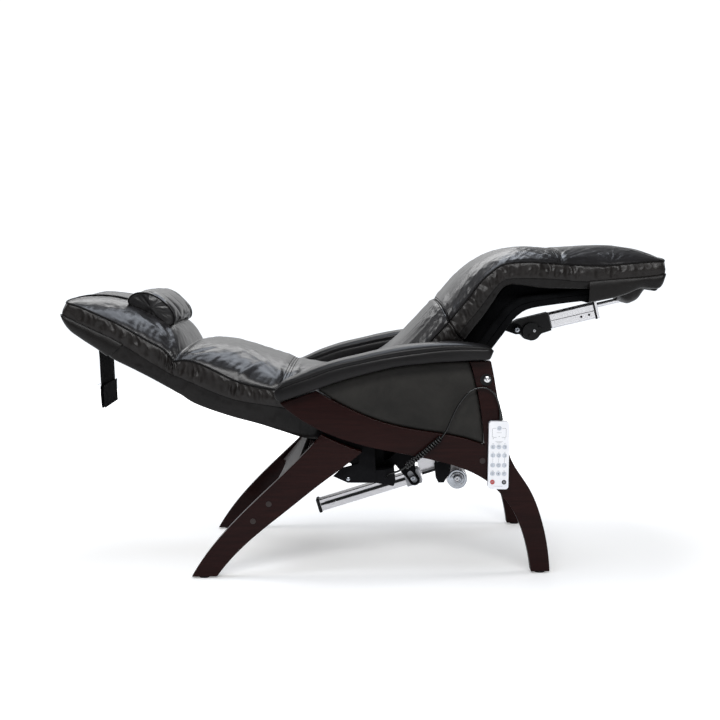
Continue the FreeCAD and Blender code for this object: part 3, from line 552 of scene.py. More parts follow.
class Cushion:
    """One closed leather form swept through its rows, and the seams on it."""

    def __init__(self, name, rows, rounded_end):
        self.rows = rows
        self.places = stations(rows)
        self.runs = run_lengths(rows)
        last = len(self.places) - 1
        self.end = 0 if rounded_end == "first" else last
        end_point = Vector(smooth_between(rows, self.places[self.end])[2:4])
        verts, facts = [], []
        for place in self.places:
            row = smooth_between(rows, place)
            reach = min(END_ROUND, (Vector(row[2:4]) - end_point).length)
            width = HALF_WIDTH - END_ROUND + corner_width(reach)
            along = self.along(place)
            for x, y, z, ring_place in section(row, width):
                verts.append((x, y, z))
                facts.append((along, ring_place))
        faces = sweep_faces(last + 1, RING, flip=True)
        for station, outward in ((0, -1), (last, 1)):
            self.close(verts, faces, station, outward)
        facts += [(0.0, UNDER)] * (len(verts) - len(facts))
        self.object = mesh_object(name, verts, faces)
        for key, index in (("along", 0), ("ring", 1)):
            layer = self.object.data.attributes.new(key, "FLOAT", "POINT")
            layer.data.foreach_set("value", [fact[index] for fact in facts])
        self.paint()

    def along(self, place):
        """Millimetres along the piping at a row position."""
        index = min(int(place), len(self.rows) - 2)
        return self.runs[index] + (self.runs[index + 1] - self.runs[index]) * (place - index)

    def close(self, verts, faces, station, outward):
        """Rings that shrink to the middle of an end, which bulges a little."""
        outline = range(station * RING, station * RING + RING)
        rim = [Vector(verts[v]) for v in outline]
        centre = sum(rim, Vector()) / RING

        def place_at(share):
            bulge = Vector((outward * END_BULGE * (1 - share * share), 0, 0))
            return [tuple(centre + (point - centre) * share + bulge) for point in rim]

        close_end(verts, faces, outline, (0.86, 0.6, 0.3), place_at, place_at(0.0)[0], outward > 0)

    def paint(self):
        """Leather on the crown, softer leather on the band, a darker copy of it on the skirt as painted
        shade, dust cloth under it.
        """
        for material in (CUSHION, BAND, CLOTH, SKIRT):
            self.object.data.materials.append(material)
        sweep = (len(self.places) - 1) * RING
        for polygon in self.object.data.polygons:
            column = polygon.index % RING
            if polygon.index >= sweep:
                polygon.material_index = 1
            elif column < ACROSS:
                polygon.material_index = 0
            elif LOW_AT <= column < SEAM_COLUMNS["low"][0]:
                polygon.material_index = 2
            else:
                # Material 3 is the skirt's darker leather, which is painted shade.
                polygon.material_index = 1 if column < BAND_AT or column >= SEAM_COLUMNS["band"][0] else 3

    def facts(self, key):
        """What each vertex was told about its place: along the piping, or round the ring."""
        values = [0.0] * len(self.object.data.vertices)
        self.object.data.attributes[key].data.foreach_get("value", values)
        return values

    def station(self, row):
        return min(range(len(self.places)), key=lambda i: abs(self.places[i] - row))

    def long_seam(self, kind, side):
        """Vertex numbers along a seam: side 0 is at -Y, side 1 at +Y."""
        return [i * RING + SEAM_COLUMNS[kind][side] for i in range(len(self.places))]

    def cross_seam(self, row):
        """Vertex numbers across the crown at a row."""
        first = self.station(row) * RING
        return list(range(first, first + ACROSS + 1))

    def welt(self):
        """Vertex numbers round the piping: one side, across the rounded end, the other side."""
        near, far = self.long_seam("piping", 0), self.long_seam("piping", 1)
        across = self.cross_seam(self.places[self.end])
        if self.end == 0:
            return near[::-1] + across[1:-1] + far
        return near + across[1:-1] + far[::-1]

    def settle(self, seams, crease_rows, pressure, cap):
        """Let the leather swell and buckle between its seams, then keep the result."""
        mesh = self.object.data
        rest = [v.co.copy() for v in mesh.vertices]
        pins = self.object.vertex_groups.new(name="pins")
        loose = self.object.vertex_groups.new(name="loose")
        ring = self.facts("ring")
        along = self.facts("along")
        creases = [self.along(row) for row in crease_rows]
        for v, place in enumerate(map(abs, ring)):
            if place <= 1:
                near_crease = max([math.exp(-abs(along[v] - crease) / 70) for crease in creases] + [0])
                slack = 0.08 + 0.45 * place ** 6 + 0.35 * near_crease
            else:
                slack = 1.0 if place < 2 else 0.5
            loose.add([v], min(1.0, slack), "REPLACE")
            if place > SKIRT_END:
                pins.add([v], 1.0, "REPLACE")
        for numbers in seams:
            pins.add(numbers, 1.0, "REPLACE")
        run_cloth(self.object, rest, cap, mass=0.002, tension_stiffness=5, compression_stiffness=5,
                  shear_stiffness=2, bending_stiffness=0.02, uniform_pressure_force=pressure,
                  vertex_group_shrink="loose", shrink_min=0.0, shrink_max=-0.14)

    def refine(self, folds):
        """One subdivision, then the fine folds of the leather along its own normals."""
        self.object.modifiers.new("finer", "SUBSURF").levels = 1
        apply_modifiers(self.object)
        mesh = self.object.data
        ring, along = self.facts("ring"), self.facts("along")
        normals = [v.normal.copy() for v in mesh.vertices]
        for v in mesh.vertices:
            v.co += normals[v.index] * folds(along[v.index], ring[v.index], v.co / MM) * MM
        for key in ("ring", "along"):
            mesh.attributes.remove(mesh.attributes[key])
        mesh.update()


CLOTH_FRAMES = 20


def run_cloth(obj, rest, cap, **extra):
    """Swell a pinned piece as cloth, apply it, and hold every point within the cap of its rest place."""
    cloth = obj.modifiers.new("cloth", "CLOTH")
    cloth.settings.effector_weights.gravity = 0.0
    for key, value in (("quality", 5), ("use_pressure", True), ("vertex_group_mass", "pins"),
                       ("pin_stiffness", 5.0), *extra.items()):
        setattr(cloth.settings, key, value)
    scene = bpy.context.scene
    cloth.point_cache.frame_start, cloth.point_cache.frame_end = 1, CLOTH_FRAMES
    for step in range(1, CLOTH_FRAMES + 1):
        scene.frame_set(step)
    depsgraph = bpy.context.evaluated_depsgraph_get()
    moved = [v.co.copy() for v in obj.evaluated_get(depsgraph).data.vertices]
    obj.modifiers.clear()
    obj.vertex_groups.clear()
    scene.frame_set(1)
    for vertex, home, place in zip(obj.data.vertices, rest, moved):
        move = place - home
        if move.length > cap * MM:
            move = move.normalized() * cap * MM
        vertex.co = home + move
    obj.data.update()


def tube_mesh(name, path, radius, sides=8, closed=False):
    """A round piping of leather through points in millimetres."""
    points = [Vector(point) for point in path]
    count = len(points)
    verts = []
    normal = None
    for i, point in enumerate(points):
        ahead = points[(i + 1) % count] if closed or i + 1 < count else point
        behind = points[i - 1] if closed or i else point
        tangent = (ahead - behind).normalized()
        if normal is None:
            normal = tangent.orthogonal().normalized()
        normal = (normal - tangent * normal.dot(tangent)).normalized()
        verts += circle(point, normal, tangent.cross(normal), radius, sides)
    faces = sweep_faces(count, sides)
    last = (count - 1) * sides
    if closed:
        faces += [(last + k, last + (k + 1) % sides, (k + 1) % sides, k) for k in range(sides)]
    else:
        faces += [tuple(range(sides))[::-1], tuple(range(last, last + sides))]
    return mesh_object(name, verts, faces, PIPING)


def spaced(path, gap):
    """Points and directions every gap millimetres along a line of points."""
    points = [Vector(point) for point in path]
    result = []
    left = gap / 2
    for before, after in zip(points, points[1:]):
        step = after - before
        length = step.length
        if length < 1e-6:
            continue
        while left <= length:
            result.append((before + step * (left / length), step / length))
            left += gap
        left -= length
    return result


STITCH_GAP = 5.6
STITCH_LENGTH = 3.9
STITCH_HALF = 0.55      # half the thread's thickness


def stitch_mesh(name, lines):
    """Rows of thread stitches, each a small lozenge on a line that comes with its outward direction."""
    verts, faces = [], []
    for line, outward in lines:
        for point, direction in spaced(line, STITCH_GAP):
            up = Vector(outward)
            side = direction.cross(up).normalized() * STITCH_HALF
            lift = up.normalized() * STITCH_HALF
            first = len(verts)
            ends = direction * STITCH_LENGTH / 2
            for x, wide in ((-1.0, 0.45), (-0.5, 1.0), (0.5, 1.0), (1.0, 0.45)):
                for place in (side, lift, -side, -lift):
                    verts.append(point + ends * x + place * wide)
            faces += sweep_faces(4, 4, first)
            faces += [(first + 3, first + 2, first + 1, first), tuple(range(first + 12, first + 16))]
    return mesh_object(name, verts, faces, THREAD)


def along_vertices(obj, numbers, lift=0.0):
    """Places of an object's vertices in millimetres, lifted along their normals."""
    mesh = obj.data
    return [(mesh.vertices[v].co / MM) + mesh.vertices[v].normal * lift for v in numbers]


def ridge(value, sharp=1.6):
    """Sharp crests and wide valleys from a smooth noise value."""
    return (1 - abs(value)) ** sharp


def noise_at(*place):
    return noise.noise(Vector(place))


def crown_folds(along, inward, side, near, quiet):
    """Folds that run in from the piping: short gathers close to it, a few long soft ones beyond."""
    lean = along + 0.6 * inward * side
    close = math.exp(-inward / 30) * (1 - math.exp(-inward / 6))
    far = math.exp(-inward / 110) * (1 - math.exp(-inward / 22))
    bunch = clamp(0.55 + 1.5 * noise_at(along / 95, side * 4, 23), 0.15)
    gather = ridge(noise_at(lean / 26, inward / 150, side * 5 + 2), 2.2) - 0.62
    long_fold = max(0.0, noise_at(lean / 40, inward / 260, side * 7 + 4) - 0.12)
    long_fold *= clamp(0.4 + 1.6 * noise_at(along / 210, side * 3, 17))
    fine = noise_at(lean / 9, inward / 50, side * 3 + 9)
    short_folds = (4.2 * gather * bunch + 0.9 * fine) * close * (0.3 + 0.7 * quiet + 0.4 * near)
    return short_folds + 15.0 * long_fold * far * quiet


def corner_folds(along, inward, corners, side):
    """Folds that fan out over the crown from where a cross seam or crease meets the piping."""
    total = 0.0
    for place, reach, amount in corners:
        offset = along - place
        distance = math.hypot(offset, inward) + 1.0
        if distance > 5 * reach:
            continue
        angle = math.atan2(inward, offset)
        wave = ridge(noise_at(angle * 3.6, distance / 260, side * 9 + place / 100), 3.0) - 0.5
        total += amount * wave * math.exp(-distance / reach) * (1 - math.exp(-distance / 26))
    return total


def seam_dip(offset, y, along):
    """The leather dips to a stitched seam, stands proud beside it and puckers."""
    dip = -1.3 * math.exp(-(offset / 9.0) ** 2) + 1.0 * math.exp(-((abs(offset) - 24) / 9) ** 2)
    return dip + 1.2 * math.exp(-abs(offset) / 30) * noise_at(y / 22, along / 90, 21)


def band_folds(along, down, side, near, quiet):
    """Upright folds of the side band, in bunches, nearly flat over the ends."""
    belly = math.sin(math.pi * down) ** 0.6
    lean = along + (22 * down + 7 * math.sin(6 * down)) * side
    bunch = 0.45 + 1.1 * max(0.0, 0.35 + noise_at(along / 65, 3, side))
    fold = ridge(noise_at(lean / 21, down * 0.9, side * 8), 3.0) - 0.5
    second = ridge(noise_at((along - 24 * down) / 13, down * 1.3, side * 6 + 2), 3.0) - 0.5
    return belly * (7.5 * fold + 3.0 * second) * (0.18 + quiet + 0.5 * near) * bunch


def quiet_ends(x):
    """The leather lies smoother over the boots at the head and foot ends."""
    return 0.25 + 0.75 / (1 + math.exp(-(x + 800) / 25)) / (1 + math.exp((x - 700) / 45))


def leather_folds(creases, seams, corners, pleats):
    """Folds of a cushion, as a function of place along it, place round it and position."""
    def folds(along, ring, point):
        place = abs(ring)
        side = 1.0 if ring > 0 else -1.0
        if place > 3.05:
            return 0.0
        quiet = quiet_ends(point.x)
        near = max([math.exp(-abs(along - crease) / 45) for crease in creases] + [0])
        if place <= 1.0:
            height = crown_folds(along, (1 - place) * HALF_WIDTH, side, near, quiet)
            height += 1.5 * noise_at(along / 120, point.y / 150, 4) + pleats(point)
            height += corner_folds(along, (1 - place) * HALF_WIDTH, corners, side)
            return height + sum(seam_dip(along - seam, point.y, along) for seam in seams)
        if place <= 2.0:
            return band_folds(along, place - 1, side, near, quiet)
        down = min(1.0, place - 2)
        wave = 3.2 * noise_at(along / 42, down * 1.5, side * 4 + 1)
        wave += 2.6 * (ridge(noise_at(along / 19, down * 1.6, side), 3.0) - 0.5)
        return math.sin(math.pi * down) * wave
    return folds


def finish_cushion(cushion, name, folds, cross_rows):
    """Fine folds, piping, top stitching; joined into one piece."""
    cushion.refine(folds)
    obj = cushion.object
    parts = [obj, tube_mesh(name + "_piping", along_vertices(obj, cushion.welt()), 3.4)]
    for side in (0, 1):
        seam = cushion.long_seam("band", side)
        parts.append(tube_mesh(name + "_seam", along_vertices(obj, seam, -0.3), 1.5, 6))
    lines = []
    for row in cross_rows:
        numbers = cushion.cross_seam(row)
        station = cushion.station(row)
        for shift in (-1, 0, 1):
            if 0 <= station + shift < len(cushion.places):
                seam = along_vertices(obj, [v + shift * RING for v in numbers], -0.4)
                parts.append(tube_mesh(name + "_cross", seam, 1.25, 6))
                lines.append((along_vertices(obj, [v + shift * RING for v in numbers], 0.8), (0, 0, 1)))
    if lines:
        parts.append(stitch_mesh(name + "_stitches", lines))
    return join(name, parts)


# ---------------------------------------------------------------- handset lead

# The lead's route from the handset's strain relief to the control box, in metres.
LEAD_UPPER = [
    (0.398, -0.367, 0.491), (0.392, -0.367, 0.520), (0.379, -0.367, 0.545), (0.357, -0.367, 0.559),
    (0.331, -0.367, 0.558), (0.307, -0.367, 0.546), (0.287, -0.367, 0.524), (0.269, -0.367, 0.497),
    (0.255, -0.367, 0.466), (0.242, -0.367, 0.436), (0.226, -0.367, 0.414),
]
LEAD_CURLY = [
    (0.226, -0.367, 0.414), (0.203, -0.367, 0.395), (0.174, -0.367, 0.371), (0.142, -0.367, 0.346),
    (0.116, -0.367, 0.326),
]
LEAD_TAIL = [
    (0.116, -0.367, 0.326), (0.097, -0.359, 0.313), (0.079, -0.341, 0.306), (0.067, -0.319, 0.300),
    (0.062, -0.301, 0.286),
]
LEAD_RADIUS = 0.003
CURL_RADIUS = 0.007     # from the curl's axis to the middle of the lead
CURL_PITCH = 0.0081
STEPS_PER_TURN = 14


def nurbs_curve(name, points, radius):
    """A smooth curve with these control points, in metres."""
    curve = bpy.data.curves.new(name, "CURVE")
    curve.dimensions = "3D"
    curve.resolution_u = 5
    curve.bevel_depth = radius
    curve.bevel_resolution = 3
    curve.use_fill_caps = True
    spline = curve.splines.new("NURBS")
    spline.points.add(len(points) - 1)
    for control, place in zip(spline.points, points):
        control.co = (*place, 1.0)
    spline.order_u = 3
    spline.use_endpoint_u = True
    return add_object(name, curve)


def curve_points(points):
    """Points read from the smooth curve of a route, in metres."""
    guide = nurbs_curve("guide", points, 0.0)
    bpy.context.view_layer.update()
    mesh = bpy.data.meshes.new_from_object(guide)
    places = [v.co.copy() for v in mesh.vertices]
    bpy.data.meshes.remove(mesh)
    bpy.data.objects.remove(guide)
    return places


def curl_points(route):
    """Turns of the curly lead round its route, opening from the plain lead and closing to it."""
    axis = curve_points(route)
    gaps = [(after - before).length for before, after in zip(axis, axis[1:])]
    total = sum(gaps)
    turns = round(total / CURL_PITCH)
    steps = turns * STEPS_PER_TURN
    result = []
    for step in range(1, steps):
        share = step / steps
        index, left = 0, share * total
        while index < len(gaps) - 1 and left > gaps[index]:
            left -= gaps[index]
            index += 1
        centre = axis[index].lerp(axis[index + 1], min(1.0, left / gaps[index]))
        tangent = (axis[index + 1] - axis[index]).normalized()
        out = Vector((0, 1, 0))
        up = tangent.cross(out).normalized()
        angle = 2 * math.pi * turns * share
        reach = CURL_RADIUS * min(1.0, share * turns / 0.8, (1 - share) * turns / 0.8)
        result.append(centre + (out * math.cos(angle) + up * math.sin(angle)) * reach)
    return result


def polyline_length(points):
    return sum((Vector(b) - Vector(a)).length for a, b in zip(points, points[1:]))


def revolve(name, start, end, profile, material, sides=24):
    """A turned piece between two points in millimetres: (share of the length, radius) pairs."""
    start, end = Vector(start), Vector(end)
    axis = end - start
    across = axis.orthogonal().normalized()
    other = axis.normalized().cross(across)
    verts = []
    for share, radius in profile:
        verts += circle(start + axis * share, across, other, radius, sides)
    faces = sweep_faces(len(profile), sides)
    faces.append(tuple(range(sides))[::-1])
    faces.append(tuple(range((len(profile) - 1) * sides, len(profile) * sides)))
    return mesh_object(name, verts, faces, material)


def add_lead():
    """Lead of the handset: plain, curly and plain again, into the control box."""
    route = LEAD_UPPER + curl_points(LEAD_CURLY) + LEAD_TAIL
    lead = nurbs_curve("handset_lead", route, LEAD_RADIUS)
    lead.data.materials.append(RUBBER)
    ribs = [(0, 6.6), (0.16, 6.4), (0.17, 5.5), (0.26, 5.5), (0.27, 6.0), (0.37, 5.8), (0.38, 4.9),
            (0.47, 4.9), (0.48, 5.4), (0.58, 5.2), (0.59, 4.4), (0.68, 4.4), (0.69, 4.8), (0.8, 4.6),
            (0.81, 3.9), (0.9, 3.9), (0.91, 4.3), (1.0, 3.9)]
    relief = revolve("lead_relief", (400.3, -367, 462), (398, -367, 491.5), ribs, RUBBER)
    for piece in (lead, relief):
        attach(piece, "base")
    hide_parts("cord_relief")
    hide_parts("handset_cord", "curly_cord", "cord_tail")
    length = polyline_length(curve_points(route))


# ---------------------------------------------------------------- cushions of the chair

def seat_pleats(point):
    """Lengthwise pleats of the seat leather, deepest just below the thigh seam."""
    rise = math.exp(-((point.x - 225) / 95) ** 2)
    return rise * 2.6 * noise_at(point.y / 15, point.x / 190, 31)


def no_pleats(_point):
    return 0.0


HEAD_END, NECK, HIP, THIGH = 0, 8, 14, 22       # rows of CRADLE_ROWS
KNEE_SEAM, CALF, FOOT_END = 0, 8, 14            # rows of LEG_ROWS


def all_seams(cushion, cross_rows):
    """Vertex numbers of the long seams on both sides and of the seams across the crown."""
    seams = [cushion.long_seam(kind, side) for kind in SEAM_COLUMNS for side in (0, 1)]
    return seams + [cushion.cross_seam(row) for row in cross_rows]


def body_cushion():
    """Head, back and seat in one cover, with the crease behind the neck and two cross seams."""
    cushion = Cushion("body_cushion", CRADLE_ROWS, "first")
    cushion.settle(all_seams(cushion, (NECK, HIP, THIGH)), (NECK, HIP), 1.0, 5)
    crease, hip, thigh = (cushion.along(row) for row in (NECK, HIP, THIGH))
    corners = ((crease, 75, 7.0), (hip, 120, 9.0), (thigh, 70, 5.0))
    folds = leather_folds((crease,), (hip, thigh), corners, seat_pleats)
    obj = finish_cushion(cushion, "body_cushion", folds, (HIP, THIGH))
    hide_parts("head_pad", "back_pad", "seat_pad", "body_board")
    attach(obj, "cradle")
    return obj


def leg_cushion():
    """Cushion from the thigh seam over the knee to the feet."""
    cushion = Cushion("leg_cushion", LEG_ROWS, "last")
    cushion.settle(all_seams(cushion, (KNEE_SEAM, CALF)), (KNEE_SEAM, CALF), 0.7, 4)
    thigh, calf = cushion.along(KNEE_SEAM), cushion.along(CALF)
    corners = ((thigh, 70, 5.0), (calf, 85, 7.0), (calf + 150, 60, 5.0))
    folds = leather_folds((), (thigh, calf), corners, no_pleats)
    obj = finish_cushion(cushion, "leg_cushion", folds, (KNEE_SEAM, CALF))
    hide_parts("leg_pad")
    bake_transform(obj)


def shell(name, rows, material, thickness):
    """A thin sheet through rows of points, thickened outward and smoothed."""
    columns = len(rows[0])
    verts = [point for row in rows for point in row]
    faces = []
    for i in range(len(rows) - 1):
        for j in range(columns - 1):
            a = i * columns + j
            faces.append((a, a + 1, a + columns + 1, a + columns))
    obj = mesh_object(name, verts, faces, material)
    solid = obj.modifiers.new("thickness", "SOLIDIFY")
    solid.thickness = thickness * MM
    solid.offset = 0
    obj.modifiers.new("smooth", "SUBSURF").levels = 1
    return apply_modifiers(obj)


def edge_at(profile, x):
    """Height of a line of (x, z) points at x."""
    for (x0, z0), (x1, z1) in zip(profile, profile[1:]):
        if x0 <= x <= x1:
            return z0 + (z1 - z0) * (x - x0) / (x1 - x0)
    return profile[0][1] if x < profile[0][0] else profile[-1][1]


BOOT_STEPS = 28         # cells along a boot
BOOT_DOWN = 7           # cells down its side
BOOT_UNDER = 8          # cells in under the cushion
BOOT_THICKNESS = 2.4
SLOT_HALF = 112         # half the opening under the foot boot
POUCH_HALF = 118        # half the pouch's width over it


def boot_half(sign, rows, row_span, slant, low_edge, slot_half):
    """One side of a leather boot: down from the band seam, round, and in under the cushion."""
    first, last = row_span
    end_x = rows[-1][4] if slot_half else rows[0][4]
    grid = []
    for i in range(BOOT_STEPS + 1):
        line = []
        for k in range(BOOT_DOWN + BOOT_UNDER + 1):
            open_last = last - slant * min(1.0, k / BOOT_DOWN)
            row = smooth_between(rows, first + (open_last - first) * i / BOOT_STEPS)
            x, seam_z = row[4], row[5]
            low_z = min(edge_at(low_edge, x), seam_z - 7)
            width = HALF_WIDTH + 3 - END_ROUND + corner_width(min(END_ROUND, abs(x - end_x)))
            if k < BOOT_DOWN:
                t = k / (BOOT_DOWN - 1)
                puff = 5.0 * math.sin(math.pi * t) + 2.2 * t * noise_at(x / 24, t * 2, sign)
                y, z = width - 1 - 6 * t * t + puff, seam_z + 3 - (seam_z - low_z - 5) * t
            elif k == BOOT_DOWN:
                y, z = width - 14, low_z + 1
            else:
                share = (k - BOOT_DOWN) / BOOT_UNDER
                y = (width - 20) + (slot_half - width + 20) * share
                z = low_z + 1.2 * noise_at(x / 26, y / 26, 3 * sign)
            line.append((x, sign * y, z))
        grid.append(line)
    # The boot takes the skirt's darker leather, which is painted shade.
    return shell("boot_part", grid, SKIRT, BOOT_THICKNESS)


def foot_pouch():
    """Leather pouch under the foot end, round the end of the leg drive's rod."""
    profile = [(801, 806), (812, 792), (832, 783), (848, 788), (862, 797), (874, 816), (888, 836), (896, 850)]
    grid = []
    for x, z in smooth_line(profile, 4):
        line = []
        for t in shares_across(22):
            y = POUCH_HALF * t
            rim = abs(t) ** 5
            line.append((x, y, z + (852 - z) * rim * 0.9 + 1.5 * noise_at(x / 20, y / 24, 6)))
        grid.append(line)
    # The pouch takes the skirt's darker leather, which is painted shade.
    return shell("boot_part", grid, SKIRT, BOOT_THICKNESS)


def foot_boot():
    """Leather boot round the foot end, open below for the rod of the leg drive."""
    low_edge = [(660, 795), (673, 796), (753, 810), (790, 821), (830, 838), (860, 835), (880, 833),
                (892, 842), (903, 872)]
    halves = [boot_half(sign, LEG_ROWS, (FOOT_END, 9.36), 0.0, low_edge, SLOT_HALF) for sign in (-1, 1)]
    boot = join("foot_boot", halves + [foot_pouch()])
    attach(boot, "leg_rest")
    return boot


def head_boot():
    """Leather boot round the head end, its edge gathered on a slant."""
    low_edge = [(-903, 776), (-886, 748), (-873, 734), (-834, 706), (-798, 682), (-752, 647), (-735, 640)]
    halves = [boot_half(sign, CRADLE_ROWS, (HEAD_END, 3.6), 1.1, low_edge, 0) for sign in (-1, 1)]
    boot = join("head_boot", halves)
    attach(boot, "cradle")
    return boot


def add_boots():
    for piece in (foot_boot(), head_boot()):
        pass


# ---------------------------------------------------------------- sleeves over the side rails

SLEEVE_LINE = [(196, 452), (240, 508), (300, 585), (360, 661), (400, 712), (424, 744), (446, 770), (470, 788),
               (500, 799), (535, 805), (600, 813), (665, 819), (740, 824)]
KNEE_X = 440            # where the rails bend
RAIL_Y = 209            # middle of a rail's sleeve, each side of the middle
RAIL_HALF = 27          # half its width
COVER_THICKNESS = 1.4   # of the black cloth covers


def rail_sleeve(side, sign):
    """Black cloth tube over a side rail, gathered where it bends at the knee."""
    centres = [Vector((x, 0, z)) for x, z in smooth_line(SLEEVE_LINE, 6)]
    grid = []
    around = 28
    for i, centre in enumerate(centres):
        ahead, behind = centres[min(i + 1, len(centres) - 1)], centres[max(i - 1, 0)]
        tangent = (ahead - behind).normalized()
        up = Vector((-tangent.z, 0, tangent.x))
        knee = math.exp(-((centre.x - KNEE_X) / 40) ** 2)
        depth = 22.5 - 4.0 * clamp((centre.x - KNEE_X) / 90)
        ring = []
        for k in range(around):
            angle = 2 * math.pi * k / around
            c, s = math.cos(angle), math.sin(angle)
            u = math.copysign(abs(c) ** 0.45, c)
            v = math.copysign(abs(s) ** 0.45, s)
            wave = 1.3 * noise_at(i / 7, k / 5, sign * 3) + knee * 1.8 * noise_at(i / 2.0, k / 6, sign)
            y = sign * (RAIL_Y + (RAIL_HALF + wave) * u)
            ring.append(tuple(centre + up * (depth + wave) * v + Vector((0, y, 0))))
        grid.append(ring + ring[:1])
    obj = shell("rail_sleeve_" + side, grid, CLOTH, COVER_THICKNESS)
    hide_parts("leg_rail_" + side)
    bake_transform(obj)


def wall_rows(low_line, high_line, y, wave):
    """Rows of a cloth wall between two lines of (x, z) points, at a distance y from the middle."""
    grid = []
    lines = zip(smooth_line(low_line, 5), smooth_line(high_line, 5))
    for i, ((low_x, low_z), (high_x, high_z)) in enumerate(lines):
        row = []
        for k in range(7):
            t = k / 6
            ripple = wave * math.sin(math.pi * t) * noise_at(i / 3.2, t, y / 40)
            row.append((low_x + (high_x - low_x) * t, y + ripple, low_z + (high_z - low_z) * t))
        grid.append(row)
    return grid


def knee_shade_cloth(side, sign):
    """Black cloth from a rail sleeve up to the leg cushion, slack at the knee; a dark sheet that fills the
    gap under the cushion as painted shade.
    """
    low = [(255, 545), (330, 640), (402, 722), (446, 778), (500, 801), (570, 811), (690, 822)]
    high = [(262, 655), (352, 742), (416, 826), (440, 850), (500, 856), (570, 852), (690, 850)]
    # A black sheet put in the shaded gap under the cushion: painted shade.
    obj = shell("knee_shade_cloth_" + side, wall_rows(low, high, sign * 204, 5.0), CLOTH, COVER_THICKNESS)
    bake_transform(obj)


def seat_cover():
    """Black dust cloth slung under the seat, along the curve of the side rails."""
    half = 184
    line = [(-226, 436), (-160, 396), (-100, 356), (-62, 333), (-22, 309), (29, 297), (78, 306), (116, 341),
            (166, 398)]
    high = [(-226, 452), (-160, 440), (-100, 430), (-62, 430), (-22, 435), (29, 450), (78, 490), (116, 520),
            (176, 560)]
    grid = []
    for x, z in smooth_line(line, 4):
        grid.append([(x, half * t, z + 2.0 * noise_at(x / 50, t * 3, 2) - 3 * (1 - t * t))
                     for t in shares_across(20)])
    parts = [shell("seat_cover", grid, CLOTH, COVER_THICKNESS)]
    for sign in (-1, 1):
        wall = wall_rows(line, high, sign * half, 2.0)
        parts.append(shell("seat_cover_wall", wall, CLOTH, COVER_THICKNESS))
    obj = join("seat_cover", parts)
    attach(obj, "cradle")


# ---------------------------------------------------------------- neck pillow, strap and flap

PILLOW_PROFILE = [
    (-722, 822), (-714, 838), (-693, 849), (-670, 850), (-646, 845), (-620, 831), (-600, 813), (-583, 793),
    (-574, 775), (-573, 757), (-580, 745), (-604, 744), (-630, 758), (-657, 774), (-683, 788), (-706, 804),
    (-717, 815),
]
PILLOW_HALF = 186.0
STRAP_HALF = 118.0
STRAP_CELLS = 32        # cells across the strap
FLAP_TOP, FLAP_LENGTH = 708, 222
FLAP_CELLS = 28         # cells across the flap, and down it


def closed_curve(points, count):
    """Evenly numbered points round a closed smooth line."""
    size = len(points)
    ring = [points[(k - 1) % size] for k in range(size + 3)]
    return [Vector((*smooth_between(ring, 1 + size * k / count), 0)) for k in range(count)]


def close_pillow(verts, faces, outline, outward):
    """An end face of the pillow, bulging and gathered into its piped rim."""
    rim = [Vector(verts[v]) for v in outline]
    centre = sum(rim, Vector()) / len(rim)

    def place_at(share):
        ring = []
        for k, point in enumerate(rim):
            gather = (2.4 * ridge(noise_at(k / 3.7, share * 1.4, outward * 5), 2.5)
                      * share ** 3 * (1 - share) * 5)
            place = centre + (point - centre) * share
            bulge = outward * (12 * (1 - share ** 2.2) + gather - 2)
            ring.append((place.x, place.y + bulge, place.z))
        return ring

    middle = (centre.x, centre.y + outward * 11, centre.z)
    close_end(verts, faces, outline, (0.93, 0.8, 0.62, 0.42, 0.2), place_at, middle, outward < 0)


def neck_pillow():
    """Stuffed leather roll with piped, gathered end faces; it follows the crown of the head cushion."""
    around, spans = 64, 44
    profile = closed_curve(PILLOW_PROFILE, around)
    middle = sum(profile, Vector()) / around
    verts = []
    for i in range(spans + 1):
        t = 2 * i / spans - 1
        y = PILLOW_HALF * (0.7 * t + 0.3 * math.sin(math.pi * t / 2))
        lift = 2 * (1 - t * t)
        swell = 0.93 + 0.03 * (1 - t ** 4)
        for k, point in enumerate(profile):
            place = middle + (point - middle) * swell
            end_fold = math.exp(-(1 - abs(t)) / 0.16)
            fold = 1.5 * noise_at(k / 2.3, t * 4, 41) * end_fold + 1.6 * noise_at(k / 11, t * 2.2, 7)
            outward = (point - middle).normalized()
            under_share = clamp((830 - place.y) / 60)
            verts.append((place.x + outward.x * fold, y, place.y + lift * under_share + outward.y * fold))
    faces = sweep_faces(spans + 1, around)
    for station, outward in ((0, -1), (spans, 1)):
        close_pillow(verts, faces, range(station * around, (station + 1) * around), outward)
    obj = mesh_object("neck_pillow", verts, faces, CUSHION)
    swell_pillow(obj, around, spans)
    obj.modifiers.new("finer", "SUBSURF").levels = 1
    apply_modifiers(obj)
    parts = [obj]
    for station in (0, spans):
        rim = along_vertices(obj, range(station * around, (station + 1) * around), 0.5)
        parts.append(tube_mesh("pillow_piping", rim, 2.6, 8, closed=True))
    pillow = join("neck_pillow", parts)
    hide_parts("pillow")
    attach(pillow, "pillow")


def swell_pillow(obj, around, spans):
    """Stuff the pillow: its piped rims hold while the leather between them swells and puckers."""
    rest = [v.co.copy() for v in obj.data.vertices]
    pins = obj.vertex_groups.new(name="pins")
    for station in (0, spans):
        pins.add(list(range(station * around, (station + 1) * around)), 1.0, "REPLACE")
    under = [v.index for v in obj.data.vertices if v.co.z / MM < 770 + (v.co.x / MM + 650) * -0.5]
    pins.add(under, 0.8, "REPLACE")
    run_cloth(obj, rest, 6, mass=0.2, tension_stiffness=25, compression_stiffness=25, bending_stiffness=0.3,
              uniform_pressure_force=2.0, shrink_min=-0.05)


